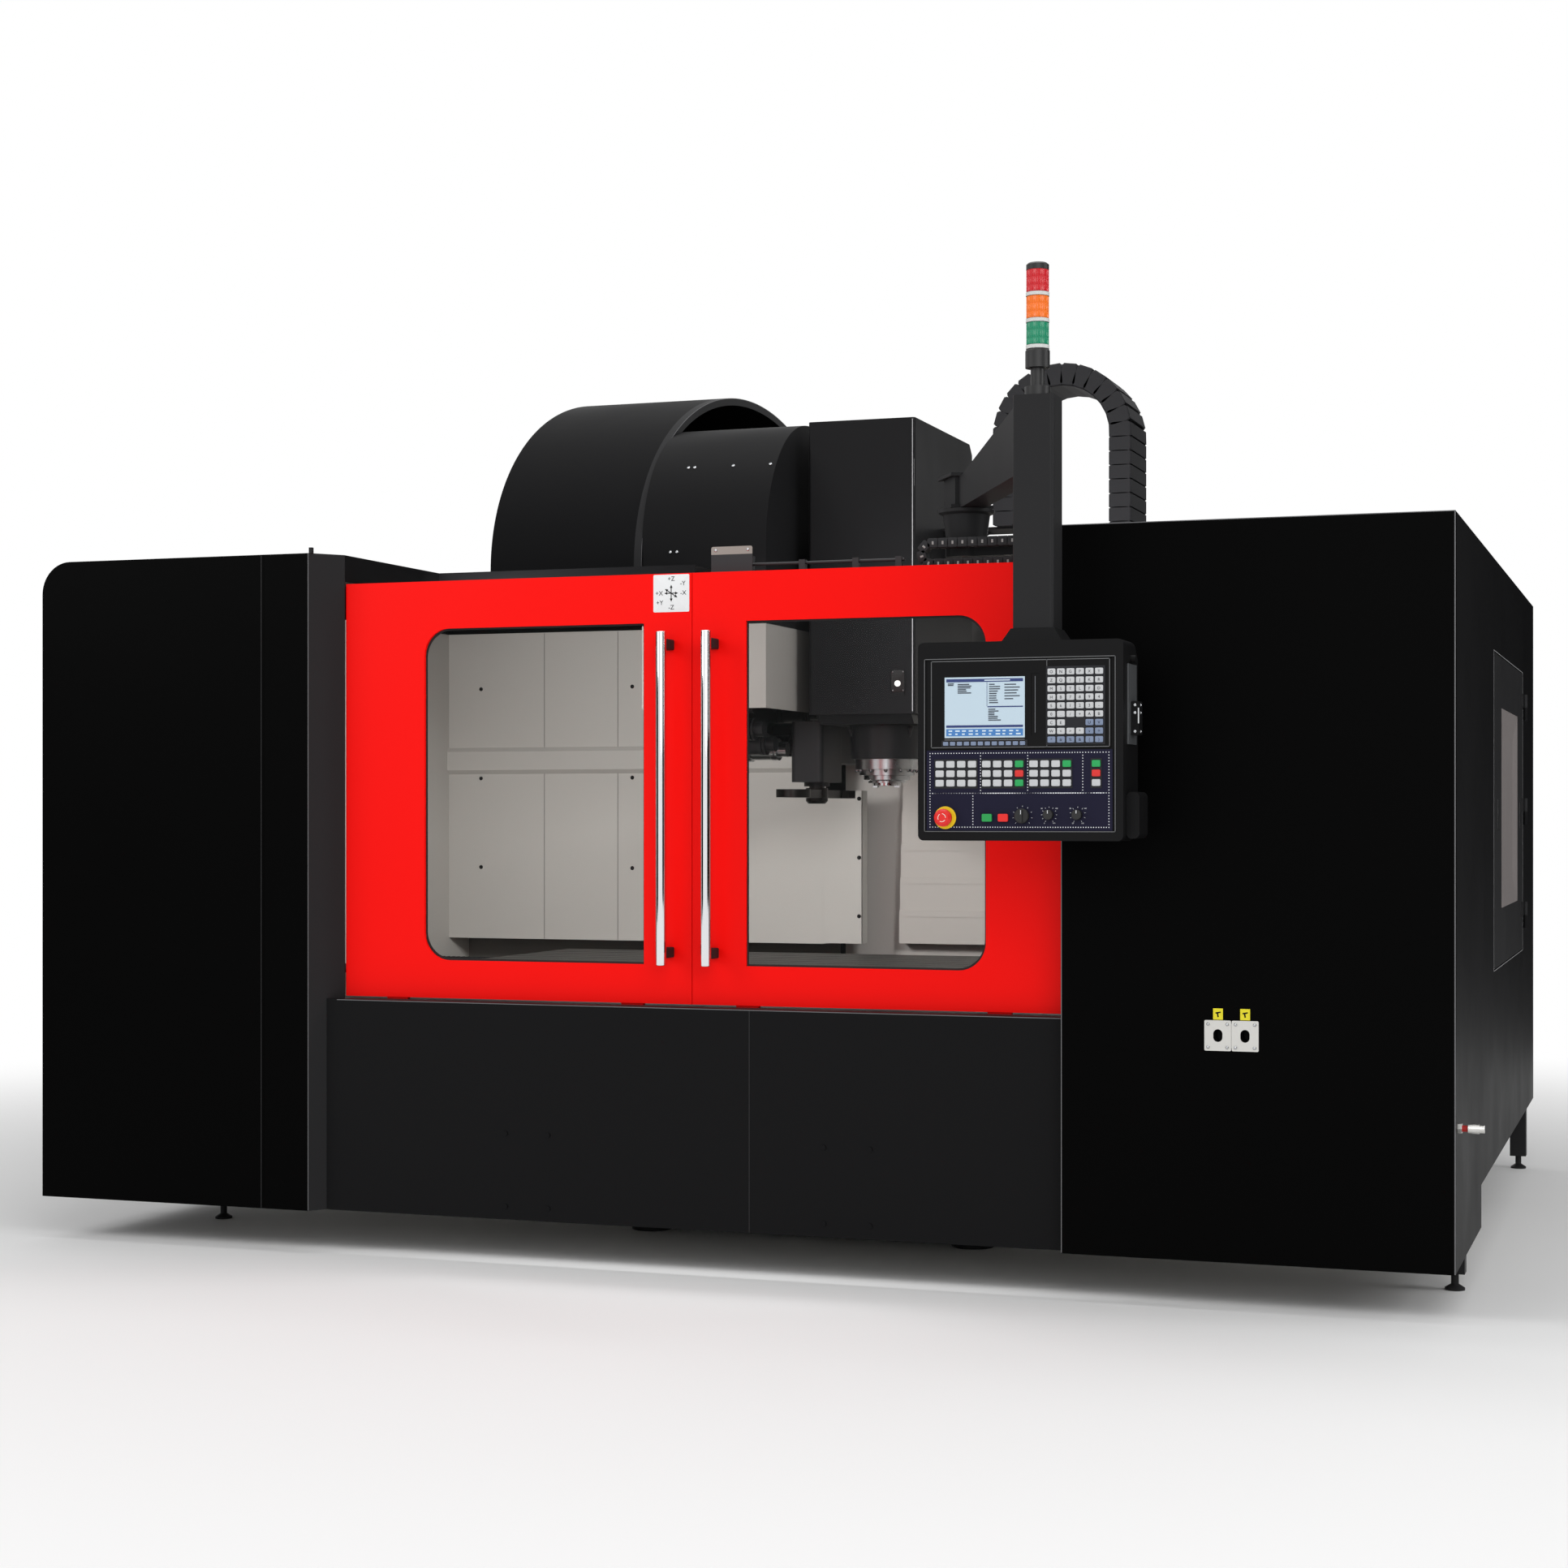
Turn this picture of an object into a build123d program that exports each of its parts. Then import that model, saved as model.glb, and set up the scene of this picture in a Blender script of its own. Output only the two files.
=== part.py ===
from build123d import *
import math
import os

# Large vertical machining center: a bed and column with three linear axes, a tool
# magazine under an arched hood, and a full sheet-metal enclosure with two sliding doors
# and an operator's pendant. Millimetres, +X to the operator's right, +Y to the back, +Z up.
# The origin is on the floor, under the middle of the machine.

# Enclosure
enclosure_width = 5600.0
enclosure_depth = 4320.0
enclosure_top = 2750.0
front_bottom = 170.0
rear_bottom = 330.0
step_depth = 1100.0
skin = 4.0
fold = 40.0
opening_left_offset = -1480.0
opening_right_offset = 1442.0
left_seam_inset = 292.0
corner_slant_width = 93.0
return_depth = 125.0
rolled_edge_radius = 130.0
front_y = -1890.0
coupler_reach = 88.0
coupler_setback = 100.0
coupler_height = 655.0
socket_offset = 604.0
socket_height = 957.0

# Sliding doors
door_setback = 130.0
door_thickness = 45.0
door_bottom = 1008.0
door_top = 2636.0
door_gap = 3.0
seam_offset = -10.0
window_inner = 206.0
window_outer = 1133.0
window_bottom = 1156.0
window_top = 2450.0
window_radius = 105.0
glass_recess = 15.0
glass_thickness = 8.0
glass_lap = 20.0
glass_clearance = 2.0
handle_offset = 90.0
handle_diameter = 40.0
handle_standoff = 90.0
handle_bottom = 1158.0
handle_top = 2411.0
handle_bracket_inset = 46.0
running_gap = 4.0
running_clearance = 0.05

# Apron, rails and door beam
apron_setback = 60.0
apron_top = 1000.0
bracket_offsets = (-751.0, 537.0)
bracket_heights = (500.0, 220.0)
bracket_bolt_pitch = 178.0
beam_bottom = 2540.0
beam_top = 2630.0
beam_depth = 90.0
beam_gap = 10.0

# Roof, hood and changer cover
roof_setback = 943.0
roof_right_offset = -314.0
roof_edge_fold = 45.0
header_fold = 105.0
hood_inner_offset = -750.0
hood_setback = 1420.0
hood_spring = 2800.0
hood_rise = 920.0
hood_rim = 34.0
cover_inset = 10.0
cover_right_offset = -180.0
cover_radius = 600.0
cover_top = 3460.0
cover_bottom = 2180.0
cover_back_setback = 3040.0

# Machine axes
spindle_offset = 144.0
spindle_setback = 2130.0
throat = 1070.0
bed_width = 1600.0
bed_top = 680.0
bed_bottom = 110.0
bed_front_setback = 930.0
column_width = 1080.0
column_depth = 850.0
column_top = 3050.0
rail_width = 55.0
rail_height = 40.0
rail_pitch_y = 1100.0
rail_pitch_x = 660.0
rail_pitch_z = 360.0
shoe_width = 120.0
shoe_length = 200.0
shoe_height = 60.0
shoe_gap = 0.5
saddle_length = 2000.0
saddle_width = 960.0
saddle_height = 165.0
x_rail_inset = 10.0
table_length = 2500.0
table_width = 1050.0
table_thickness = 105.0
table_rest_shift = -540.0
slot_count = 7
slot_pitch = 140.0
slot_width = 22.0
slot_depth = 38.0
slot_foot_width = 37.0
slot_foot_height = 16.0

# Head and spindle
head_width = 430.0
head_front_setback = 1770.0
head_bottom = 2120.0
head_body_top = 2700.0
head_body_depth = 820.0
cover_half_width = 242.0
head_cover_front = 1750.0
head_cover_depth = 940.0
head_cover_bottom = 2160.0
head_cover_top = 3437.0
button_radius = 13.0
socket_depth = 14.0
spindle_nose_z = 1854.0
spindle_flange_radius = 64.3
spindle_bore_radius = 34.9
spindle_taper_length = 101.8
taper_ratio = 7.0 / 24.0

# Tool changer
arm_half = 330.0
arm_thickness = 36.0
arm_below_nose = 18.0
ram_diameter = 70.0
pot_count = 24
pot_circle = 620.0
pot_radius = 56.0
pot_length = 150.0
pot_pin_radius = 8.0
pot_ear = 12.0
magazine_height = 2640.0
disc_thickness = 40.0
bearing_plate = 32.0
axial_gap = 8.0

# Pendant, boom and stack light
pendant_left = 1056.0
pendant_width = 711.0
pendant_depth = 240.0
pendant_bottom = 1635.0
pendant_top = 2310.0
pendant_reach = 480.0
post_size = 142.0
post_offset = 34.0
post_top = 3148.0
pivot_x = 1000.0
pivot_setback = 350.0
boom_width = 96.0
arm_plate_top = 2720.0
pivot_bottom = 2856.0
pivot_pin_radius = 34.0
pivot_pin_top = 2945.0
knuckle_height = 118.0
knuckle_plate = 12.0
boom_head_drop = 250.0

# Controls on the pendant's lower row, as (distance right of the pendant's left edge, height)
emergency_stop_at = (97.0, 78.0)
start_button_at = (245.0, 78.0)
hold_button_at = (301.0, 78.0)
mode_dial_at = (366.0, 84.0)
feed_knob_at = (458.0, 88.0)
speed_knob_at = (556.0, 88.0)
stem_radius = 10.0
stem_clearance = 0.5
face_sink = 8.0
panel_thickness = 5.0

# Side door on the right
side_door_front = 1730.0
side_door_length = 1780.0
side_door_bottom = 1100.0
side_door_top = 2380.0
side_door_gap = 4.0
side_door_depth = 30.0
side_hinge_spacing = 480.0
side_window_inset = 440.0
side_window_length = 990.0
side_window_bottom = 1337.0
side_window_top = 2166.0
side_window_slope = 110.0
side_window_depth = 14.0
pull_length = 130.0
pull_height = 1725.0

# Hinges of the side door and the cabinet door
hinge_pin_radius = 5.0
hinge_barrel_radius = 10.0
hinge_length = 120.0
hinge_set_off = 11.0
strap_length = 60.0
strap_thickness = 4.5
cabinet_hinge_spacing = 900.0

# Working space inside the doors
left_wall_inset = 364.0
right_wall_inset = 118.0
wall_front_setback = 290.0
wall_back = 820.0
low_wall_back = 1050.0
wall_top = 2640.0
ledge_height = 1100.0
wall_fold_top = 2064.0
wall_fold_bottom = 1930.0
wall_fold_depth = 26.0
changer_mouth = 2170.0
tray_height = 590.0

# Frame below the enclosure
frame_tube = 60.0
leg_size = 75.0

# Cable chains
chain_radius = 310.0
chain_band = 100.0
chain_width = 340.0
chain_left_offset = 486.0
chain_top = 3700.0
chain_head_end = 3000.0
chain_link = 62.0
door_chain_offset = 850.0
door_chain_band = 36.0
door_chain_height = 112.0
door_chain_width = 50.0
door_chain_link = 38.0

# Rear cabinet
cabinet_column_gap = 296.0
cabinet_right_inset = 80.0
cabinet_bottom = 420.0
cabinet_top_inset = 120.0
cabinet_depth = 360.0
cabinet_wall = 5.0

# Planes and lines that follow from the sizes above
mid_x = -coupler_reach / 2
left_x = mid_x - enclosure_width / 2
right_x = mid_x + enclosure_width / 2
back_y = front_y + enclosure_depth
opening_left = mid_x + opening_left_offset
opening_right = mid_x + opening_right_offset
door_front_y = front_y + door_setback
door_back_y = door_front_y + door_thickness
seam_x = mid_x + seam_offset
apron_y = front_y + apron_setback
spindle_x = mid_x + spindle_offset
spindle_y = front_y + spindle_setback
column_y = spindle_y + throat
hood_left_x = opening_left + 11.0
hood_right_x = mid_x + hood_inner_offset
hood_front_y = front_y + hood_setback
roof_right_x = mid_x + roof_right_offset
saddle_bottom = bed_top + shoe_height
saddle_top = saddle_bottom + saddle_height
table_bottom = saddle_top + shoe_height
table_top = table_bottom + table_thickness
pivot_y = front_y + pivot_setback
cabinet_right = right_x - cabinet_right_inset
cabinet_left = spindle_x + column_width / 2 + cabinet_column_gap
cabinet_height = enclosure_top - cabinet_top_inset - cabinet_bottom


def block(x, y, z):
    """A box between two ends on each axis."""
    centre = Pos((x[0] + x[1]) / 2, (y[0] + y[1]) / 2, (z[0] + z[1]) / 2)
    return centre * Box(x[1] - x[0], y[1] - y[0], z[1] - z[0])


def rect(u, v):
    """A flat rectangle between two ends on each sketch axis."""
    return Pos((u[0] + u[1]) / 2, (v[0] + v[1]) / 2) * Rectangle(u[1] - u[0], v[1] - v[0])


def along_y(sketch, y):
    """Carries an X-Z sketch from the first y to the second."""
    plane = Plane(origin=(0, y[1], 0), x_dir=(1, 0, 0), z_dir=(0, -1, 0))
    return extrude(plane * sketch, amount=y[1] - y[0])


def along_x(sketch, x):
    """Carries a Y-Z sketch from the first x to the second."""
    plane = Plane(origin=(x[0], 0, 0), x_dir=(0, 1, 0), z_dir=(1, 0, 0))
    return extrude(plane * sketch, amount=x[1] - x[0])


def along_z(sketch, z):
    """Carries an X-Y sketch from the first z to the second."""
    return extrude(Plane(origin=(0, 0, z[0])) * sketch, amount=z[1] - z[0])


def disc(u, v, radius):
    """A flat disc about a point of the sketch."""
    return Pos(u, v) * Circle(radius)


def outline(*points):
    """A flat face with straight sides, turned to face up its plane."""
    area = sum(a[0] * b[1] - b[0] * a[1] for a, b in zip(points, points[1:] + points[:1]))
    return Polygon(*(points if area > 0 else points[::-1]), align=None)


def turned(x, y, *profile):
    """A solid of revolution about a vertical line, from (radius, height) points."""
    face = Plane(origin=(0, 0, 0), x_dir=(1, 0, 0), z_dir=(0, -1, 0)) * outline(*profile)
    return Pos(x, y, 0) * revolve(face, axis=Axis.Z)


def pan(x, z, y, depth, inward=1, rolled=0.0):
    """A sheet-metal panel: a flat skin with its four edges folded back.

    rolled is the radius of its top left corner, where the side sheet rolls over.
    """
    def face(inset):
        sheet = rect((x[0] + inset, x[1] - inset), (z[0] + inset, z[1] - inset))
        if rolled <= inset:
            return sheet
        corner = sheet.vertices().group_by(Axis.Y)[-1].group_by(Axis.X)[0]
        return fillet(corner, rolled - inset)

    back = y + inward * depth
    whole = along_y(face(0), sorted((y, back)))
    return whole - along_y(face(skin), sorted((y + inward * skin, back + inward)))


def hinge(x, y, z):
    """A lift-off hinge's two halves about a vertical pin: the fixed one and the door's."""
    half = hinge_length / 2
    pin = along_z(disc(x, y, hinge_pin_radius), (z - half, z + half))
    fixed = pin + along_z(disc(x, y, hinge_barrel_radius), (z - half, z - 1))
    bore = disc(x, y, hinge_pin_radius + running_clearance)
    return fixed, along_z(disc(x, y, hinge_barrel_radius) - bore, (z, z + half + 1))


# Bed, column and guides


def base_casting():
    half = bed_width / 2
    front = front_y + bed_front_setback
    back = column_y + column_depth + 40
    foot = 90.0
    profile = outline(
        (-half, bed_bottom), (half, bed_bottom), (half, bed_bottom + foot),
        (half - 60, bed_bottom + foot + 60), (half - 60, bed_top - 130), (half, bed_top - 90),
        (half, bed_top), (half - 330, bed_top), (half - 380, bed_top - 110),
        (380 - half, bed_top - 110), (330 - half, bed_top), (-half, bed_top),
        (-half, bed_top - 90), (60 - half, bed_top - 130), (60 - half, bed_bottom + foot + 60),
        (-half, bed_bottom + foot),
    )
    bed = Pos(spindle_x, 0, 0) * along_y(profile, (front, back))
    seat = block(
        (spindle_x - column_width / 2 - 60, spindle_x + column_width / 2 + 60),
        (column_y - 60, back), (bed_top - 200, bed_top),
    )
    return bed + seat


def guide_rail_pair(length_axis, middle, pitch, span, seat):
    """Two rails with waisted sides, side by side on one seat."""
    h, w = rail_height, rail_width
    section = outline(
        (-w / 2, 0), (w / 2, 0), (w / 2, h * 0.35), (w * 0.36, h * 0.5), (w * 0.5, h * 0.72),
        (w * 0.42, h), (-w * 0.42, h), (-w * 0.5, h * 0.72), (-w * 0.36, h * 0.5),
        (-w / 2, h * 0.35),
    )
    rails = []
    for side in (-1, 1):
        at = middle + side * pitch / 2
        if length_axis == "y":
            rails.append(Pos(at, 0, seat) * along_y(section, span))
        elif length_axis == "x":
            rails.append(Pos(0, at, seat) * along_x(section, span))
        else:
            upright = Rot(0, 0, 180) * section
            rails.append(Pos(at, seat, 0) * along_z(upright, span))
    return rails


def shoe(length_axis, at, seat, centre):
    """A guide shoe that straddles a rail, open over the rail's full section."""
    w, h = rail_width + 2 * shoe_gap, rail_height + shoe_gap
    profile = rect((-shoe_width / 2, shoe_width / 2), (shoe_gap + 12, shoe_height))
    profile -= rect((-w / 2, w / 2), (0, h))
    span = (centre - shoe_length / 2, centre + shoe_length / 2)
    if length_axis == "y":
        return Pos(at, 0, seat) * along_y(profile, span)
    if length_axis == "x":
        return Pos(0, at, seat) * along_x(profile, span)
    return Pos(at, seat, 0) * along_z(Rot(0, 0, 180) * profile, span)


def guide_rails():
    span_y = (front_y + bed_front_setback + 20, column_y - 80)
    span_z = (bed_top + 420, column_top - 5)
    flat = guide_rail_pair("y", spindle_x, rail_pitch_y, span_y, bed_top)
    upright = guide_rail_pair("z", spindle_x, rail_pitch_z, span_z, column_y)
    return flat + upright


def column_casting():
    half = column_width / 2
    foot = column_y + column_depth
    side = outline(
        (column_y, bed_top), (foot, bed_top), (foot, bed_top + 700),
        (foot - 160, column_top - 500), (foot - 160, column_top), (column_y, column_top),
    )
    body = along_x(side, (spindle_x - half, spindle_x + half))
    for z in (bed_top + 180, bed_top + 760, bed_top + 1340):
        for s in (-1, 1):
            pocket = block(
                sorted((spindle_x + s * half, spindle_x + s * (half - 60))),
                (column_y + 120, foot - 240), (z, z + 440),
            )
            body -= fillet(pocket.edges().filter_by(Axis.X), 60)
    bearing_x = magazine_plate_x()
    arm = block((bearing_x[0], bearing_x[1]), (spindle_y - 110, column_y + 300), (2340, 2860))
    arm -= block((bearing_x[0] - 1, bearing_x[1] + 1), (spindle_y + 150, column_y - 120), (2440, 2760))
    lug = block((bearing_x[0], spindle_x - half), (column_y + 60, column_y + 300), (2340, 2860))
    stub_end = bearing_x[1] + axial_gap + disc_thickness + 50
    stub = along_x(disc(spindle_y, magazine_height, 60 - running_clearance), (bearing_x[1], stub_end))
    motor_x = (spindle_x - 95, spindle_x + 95)
    motor = block(motor_x, (column_y + 40, column_y + 230), (column_top, column_top + 300))
    motor = fillet(motor.edges().filter_by(Axis.Z), 30)
    return body + arm + lug + stub + motor


# Tool magazine and changer


def arm_x():
    return spindle_x - arm_half


def magazine_plate_x():
    """The fixed bearing plate, just left of the disc."""
    right = arm_x() - arm_half - disc_thickness - axial_gap
    return right - bearing_plate, right


def tool_pot():
    """A tool pot along +X from its back face, with the nose of the tool that it holds."""
    flange = 50.0
    profile = outline(
        (0, 0), (pot_radius, 0), (pot_radius, 22), (pot_radius - 8, 28), (pot_radius - 8, pot_length - 34),
        (flange, pot_length - 30), (flange, pot_length - 16), (flange - 6, pot_length - 13),
        (flange, pot_length - 10), (flange, pot_length), (34, pot_length), (34, pot_length + 40),
        (0, pot_length + 40),
    )
    upright = revolve(Plane.XZ * profile, axis=Axis.Z)
    return Rot(0, 90, 0) * upright


def magazine_disc():
    """The carrier disc with its ring of tool pots, and ears for the pot that tips."""
    front = arm_x() - arm_half
    wheel_radius = pot_circle - 12
    wheel = disc(0, 0, wheel_radius) - disc(0, 0, 60)
    for k in range(6):
        angle = math.radians(60 * k)
        wheel -= disc(320 * math.cos(angle), 320 * math.sin(angle), 110)
    whole = along_x(wheel, (front - disc_thickness, front))
    whole += along_x(disc(0, 0, 110) - disc(0, 0, 60), (front - disc_thickness, front + 50))
    pot = tool_pot()
    for k in range(1, pot_count):
        angle = math.radians(360 / pot_count * k - 90)
        whole += Pos(front, pot_circle * math.cos(angle), pot_circle * math.sin(angle)) * pot
    for s in (-1, 1):
        y = sorted((s * (pot_radius + 2), s * (pot_radius + 2 + pot_ear)))
        ear = block((front - 18, front + 14), y, (-pot_circle - 16, 40 - wheel_radius))
        bore = disc(front, -pot_circle, pot_pin_radius + running_clearance)
        whole += ear - along_y(bore, (y[0] - 1, y[1] + 1))
    return Pos(0, spindle_y, magazine_height) * whole


def change_pot():
    """The pot at the change position, on a cross pin, which tips its tool down to the arm."""
    front = arm_x() - arm_half
    reach = pot_radius + 2 + pot_ear
    pot = Pos(front + 0.5, 0, 0) * tool_pot()
    eye = along_y(disc(front, 0, 15), (-pot_radius, pot_radius))
    pin = along_y(disc(front, 0, pot_pin_radius), (-reach, reach))
    eye -= block((front - 16, front), (-pot_radius - 1, pot_radius + 1), (-16, 16))
    return Pos(0, spindle_y, magazine_height - pot_circle) * (pot + eye + pin)


def arm_top():
    return spindle_nose_z - arm_below_nose


def changer_gearbox():
    """The cam box of the changer, on its beam from the column."""
    x = (arm_x() - 75, arm_x() + 75)
    box = block(x, (spindle_y - 150, spindle_y + 150), (arm_top() + 34, arm_top() + 304))
    box = fillet(box.edges().filter_by(Axis.Z), 24)
    neck = along_z(disc(arm_x(), spindle_y, 58), (arm_top() + 16, arm_top() + 34))
    beam = block((x[0] + 15, x[1] - 15), (spindle_y + 150, column_y), (arm_top() + 124, arm_top() + 294))
    bore = along_z(disc(arm_x(), spindle_y, ram_diameter / 2), (arm_top() + 15, arm_top() + 254))
    return box + neck + beam - bore


def changer_ram():
    """The arm's shaft: it slides in the gearbox and holds the arm on its lower pin."""
    r = ram_diameter / 2 - running_clearance
    top, hub = arm_top() + 234, arm_top() + 9.5
    low = arm_top() - arm_thickness
    return turned(
        arm_x(), spindle_y,
        (0, top), (r, top), (r, hub), (22, hub), (22, low - 0.5), (50, low - 0.5),
        (50, low - 14), (38, low - 26), (0, low - 26),
    )


def changer_arm():
    """A double-ended arm, with an open gripper at each end for a tool's flange."""
    grip, jaw, half_width = 52.0, 78.0, 36.0
    z = (arm_top() - arm_thickness, arm_top())
    plan = rect((-half_width, half_width), (-arm_half + 40, arm_half - 40)) + disc(0, 0, 50)
    for s in (-1, 1):
        plan += disc(0, s * arm_half, jaw)
        plan -= disc(0, s * arm_half, grip)
        plan -= rect(sorted((0, s * (jaw + 2))), (s * arm_half - grip * 0.93, s * arm_half + grip * 0.93))
    plan -= disc(0, 0, 22 + running_clearance)
    arm = along_z(plan, z)
    hub = along_z(disc(0, 0, 50) - disc(0, 0, 22 + running_clearance), (z[1], z[1] + 9))
    return Pos(arm_x(), spindle_y, 0) * (arm + hub)


# Saddle, table and head


def saddle_casting():
    x = (spindle_x - saddle_length / 2, spindle_x + saddle_length / 2)
    y = (spindle_y - saddle_width / 2, spindle_y + saddle_width / 2)
    side = outline(
        (y[0], saddle_bottom + 70), (y[0] + 90, saddle_bottom), (y[1] - 90, saddle_bottom),
        (y[1], saddle_bottom + 70), (y[1], saddle_top), (y[1] - 260, saddle_top),
        (y[1] - 300, saddle_top - 60), (y[0] + 300, saddle_top - 60), (y[0] + 260, saddle_top),
        (y[0], saddle_top),
    )
    body = along_x(side, x)
    for s in (-1, 1):
        end = spindle_x + s * saddle_length / 2
        inner = spindle_x + s * (rail_pitch_y / 2 + 170)
        low = (saddle_bottom - 1, saddle_bottom + 60)
        relief = block(sorted((inner, end + s)), (y[0] - 1, y[1] + 1), low)
        body -= relief
        for end_y in (-1, 1):
            at = spindle_x + s * rail_pitch_y / 2
            centre = spindle_y + end_y * (saddle_width / 2 - 190)
            body += shoe("y", at, bed_top, centre)
    span = (x[0] + x_rail_inset, x[1] - x_rail_inset)
    for rail in guide_rail_pair("x", spindle_y, rail_pitch_x, span, saddle_top):
        body += rail
    return body


def work_table():
    x0 = spindle_x + table_rest_shift
    half, wide = table_length / 2, table_width / 2
    foot_y = wide - 30
    section = rect((-wide, wide), (table_bottom + 35, table_top))
    section += rect((-foot_y, foot_y), (table_bottom, table_bottom + 36))
    for k in range(slot_count):
        at = (k - (slot_count - 1) / 2) * slot_pitch
        section -= rect((at - slot_width / 2, at + slot_width / 2), (table_top - slot_depth, table_top + 1))
        foot = (table_top - slot_depth, table_top - slot_depth + slot_foot_height)
        section -= rect((at - slot_foot_width / 2, at + slot_foot_width / 2), foot)
    body = Pos(x0, spindle_y, 0) * along_x(section, (-half, half))
    for side in (-1, 1):
        for place in (-0.3, 0.3):
            centre = x0 - table_rest_shift * 0.5 + place * saddle_length
            body += shoe("x", spindle_y + side * rail_pitch_x / 2, saddle_top, centre)
    return body


def head_casting():
    """The head: a box section round the spindle, carried back to the column's rails."""
    half = head_width / 2
    front = front_y + head_front_setback
    slide_y = column_y - shoe_height
    body_back = front + head_body_depth
    side = outline(
        (front, head_bottom + 60), (front + 60, head_bottom), (body_back, head_bottom),
        (slide_y, head_bottom - 60),
        (slide_y, head_body_top + 260), (body_back, head_body_top), (front, head_body_top),
    )
    body = along_x(side, (spindle_x - half, spindle_x + half))
    seat_gap = cover_half_width - skin - half
    for s in (-1, 1):
        for y in (front + 120, front + 560):
            x = sorted((spindle_x + s * half, spindle_x + s * (half + seat_gap)))
            body += along_x(disc(y, head_bottom + 420, 30), x)
        for z in (head_bottom + 120, head_body_top + 40):
            body += shoe("z", spindle_x + s * rail_pitch_z / 2, column_y, z)
    motor_x = (spindle_x - 150, spindle_x + 150)
    motor = block(motor_x, (spindle_y - 150, spindle_y + 150), (head_body_top, head_body_top + 480))
    return body + fillet(motor.edges().filter_by(Axis.Z), 40)


def head_cover():
    """A folded cover over the head, open below and behind."""
    x = (spindle_x - cover_half_width, spindle_x + cover_half_width)
    y0 = front_y + head_cover_front
    y1 = y0 + head_cover_depth
    corner = 46.0
    side = outline(
        (y0, head_cover_bottom), (y1, head_cover_bottom), (y1, head_cover_top - corner),
        (y1 - corner, head_cover_top), (y0, head_cover_top),
    )
    shell = along_x(side, x)
    shell = fillet(shell.edges().filter_by(Axis.Z).group_by(Axis.Y)[0], 14)
    hollow = block(
        (x[0] + skin, x[1] - skin), (y0 + skin, y1 + 1), (head_cover_bottom - 1, head_cover_top - corner)
    )
    hollow += block(
        (x[0] + skin, x[1] - skin), (y0 + skin, y1 - corner), (head_cover_top - corner, head_cover_top - skin)
    )
    shell -= hollow
    bx, bz = button_place()
    plate = along_y(rect((bx - 27, bx + 27), (bz - 52, bz + 52)), (y0 - 5, y0))
    socket = along_y(rect((bx - 24, bx + 24), (bz - 24, bz + 24)), (y0 + skin, y0 + skin + socket_depth))
    bore = disc(bx, bz, button_radius + running_clearance)
    bore = along_y(bore, (y0 - 6, y0 + skin + socket_depth - 1))
    y_mid = spindle_y + chain_width / 2
    chain_x = spindle_x + chain_left_offset + chain_band
    bracket = block((x[1], chain_x), (y_mid - 110, y_mid + 110), (chain_head_end - 10, chain_head_end))
    gusset = along_y(
        outline(
            (x[1], chain_head_end - 150), (x[1] + 200, chain_head_end - 10), (x[1], chain_head_end - 10)
        ),
        (y_mid - 5, y_mid + 5),
    )
    return shell + plate + socket + bracket + gusset - bore


def button_place():
    """The unclamp button's centre on the cover's front, as x and z."""
    return spindle_x + 168, head_cover_bottom + 130


def unclamp_button():
    bx, bz = button_place()
    y0 = front_y + head_cover_front
    return along_y(disc(bx, bz, button_radius), (y0 - 13, y0 + skin + socket_depth - 6))


def spindle_housing():
    """The spindle cartridge: a cast cone over stepped steel rings."""
    z = spindle_nose_z
    inner = 60.0
    return turned(
        spindle_x, spindle_y,
        (inner, head_bottom), (168, head_bottom), (168, head_bottom - 16), (156, z + 118),
        (142, z + 116), (142, z + 72), (124, z + 70), (124, z + 46), (104, z + 44),
        (104, z + 26), (84, z + 20), (84, z + 12), (spindle_flange_radius + 3, z + 12),
        (spindle_flange_radius + 3, z + 30), (inner, z + 30),
    )


def spindle_shaft():
    """The spindle: a flanged shaft with a steep-taper socket and two drive keys."""
    z = spindle_nose_z
    r_in = spindle_bore_radius
    r_end = r_in - spindle_taper_length * taper_ratio / 2
    shaft = 60.0 - running_clearance
    body = turned(
        0, 0,
        (r_in, z), (spindle_flange_radius, z), (spindle_flange_radius, z + 29.5), (shaft, z + 29.5),
        (shaft, head_bottom - 2), (13, head_bottom - 2), (13, z + spindle_taper_length),
        (r_end, z + spindle_taper_length),
    )
    for s in (-1, 1):
        body += block(sorted((s * 40, s * 62)), (-12.7, 12.7), (z - 8, z + 1))
    for k in range(4):
        angle = math.radians(45 + 90 * k)
        at = 50.8 * math.cos(angle), 50.8 * math.sin(angle)
        body -= along_z(disc(*at, 5.1), (z - 1, z + 22))
    return Pos(spindle_x, spindle_y, 0) * body


# Way covers and cable chains


def fins(span, high, low, count):
    """A saw-tooth strip, drawn along its run, for bellows and stepped covers."""
    pitch = (span[1] - span[0]) / count
    top = []
    for k in range(count):
        at = span[0] + k * pitch
        top += [(at, low), (at + pitch / 2, high)]
    top.append((span[1], low))
    return top


def x_way_covers():
    """Folded bellows beside the table, one each side."""
    middle = spindle_x + table_rest_shift
    walls = inner_walls_x()
    left = (walls[0], middle - table_length / 2)
    right = (middle + table_length / 2, walls[1])
    bellows = []
    for span in (left, right):
        count = round((span[1] - span[0]) / 55)
        top = fins(span, saddle_top + 120, saddle_top + 96, count)
        bottom = [(u, v - 24) for u, v in reversed(top)]
        bellows.append(along_y(outline(*(top + bottom)), (spindle_y - 500, spindle_y + 500)))
    return bellows


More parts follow.
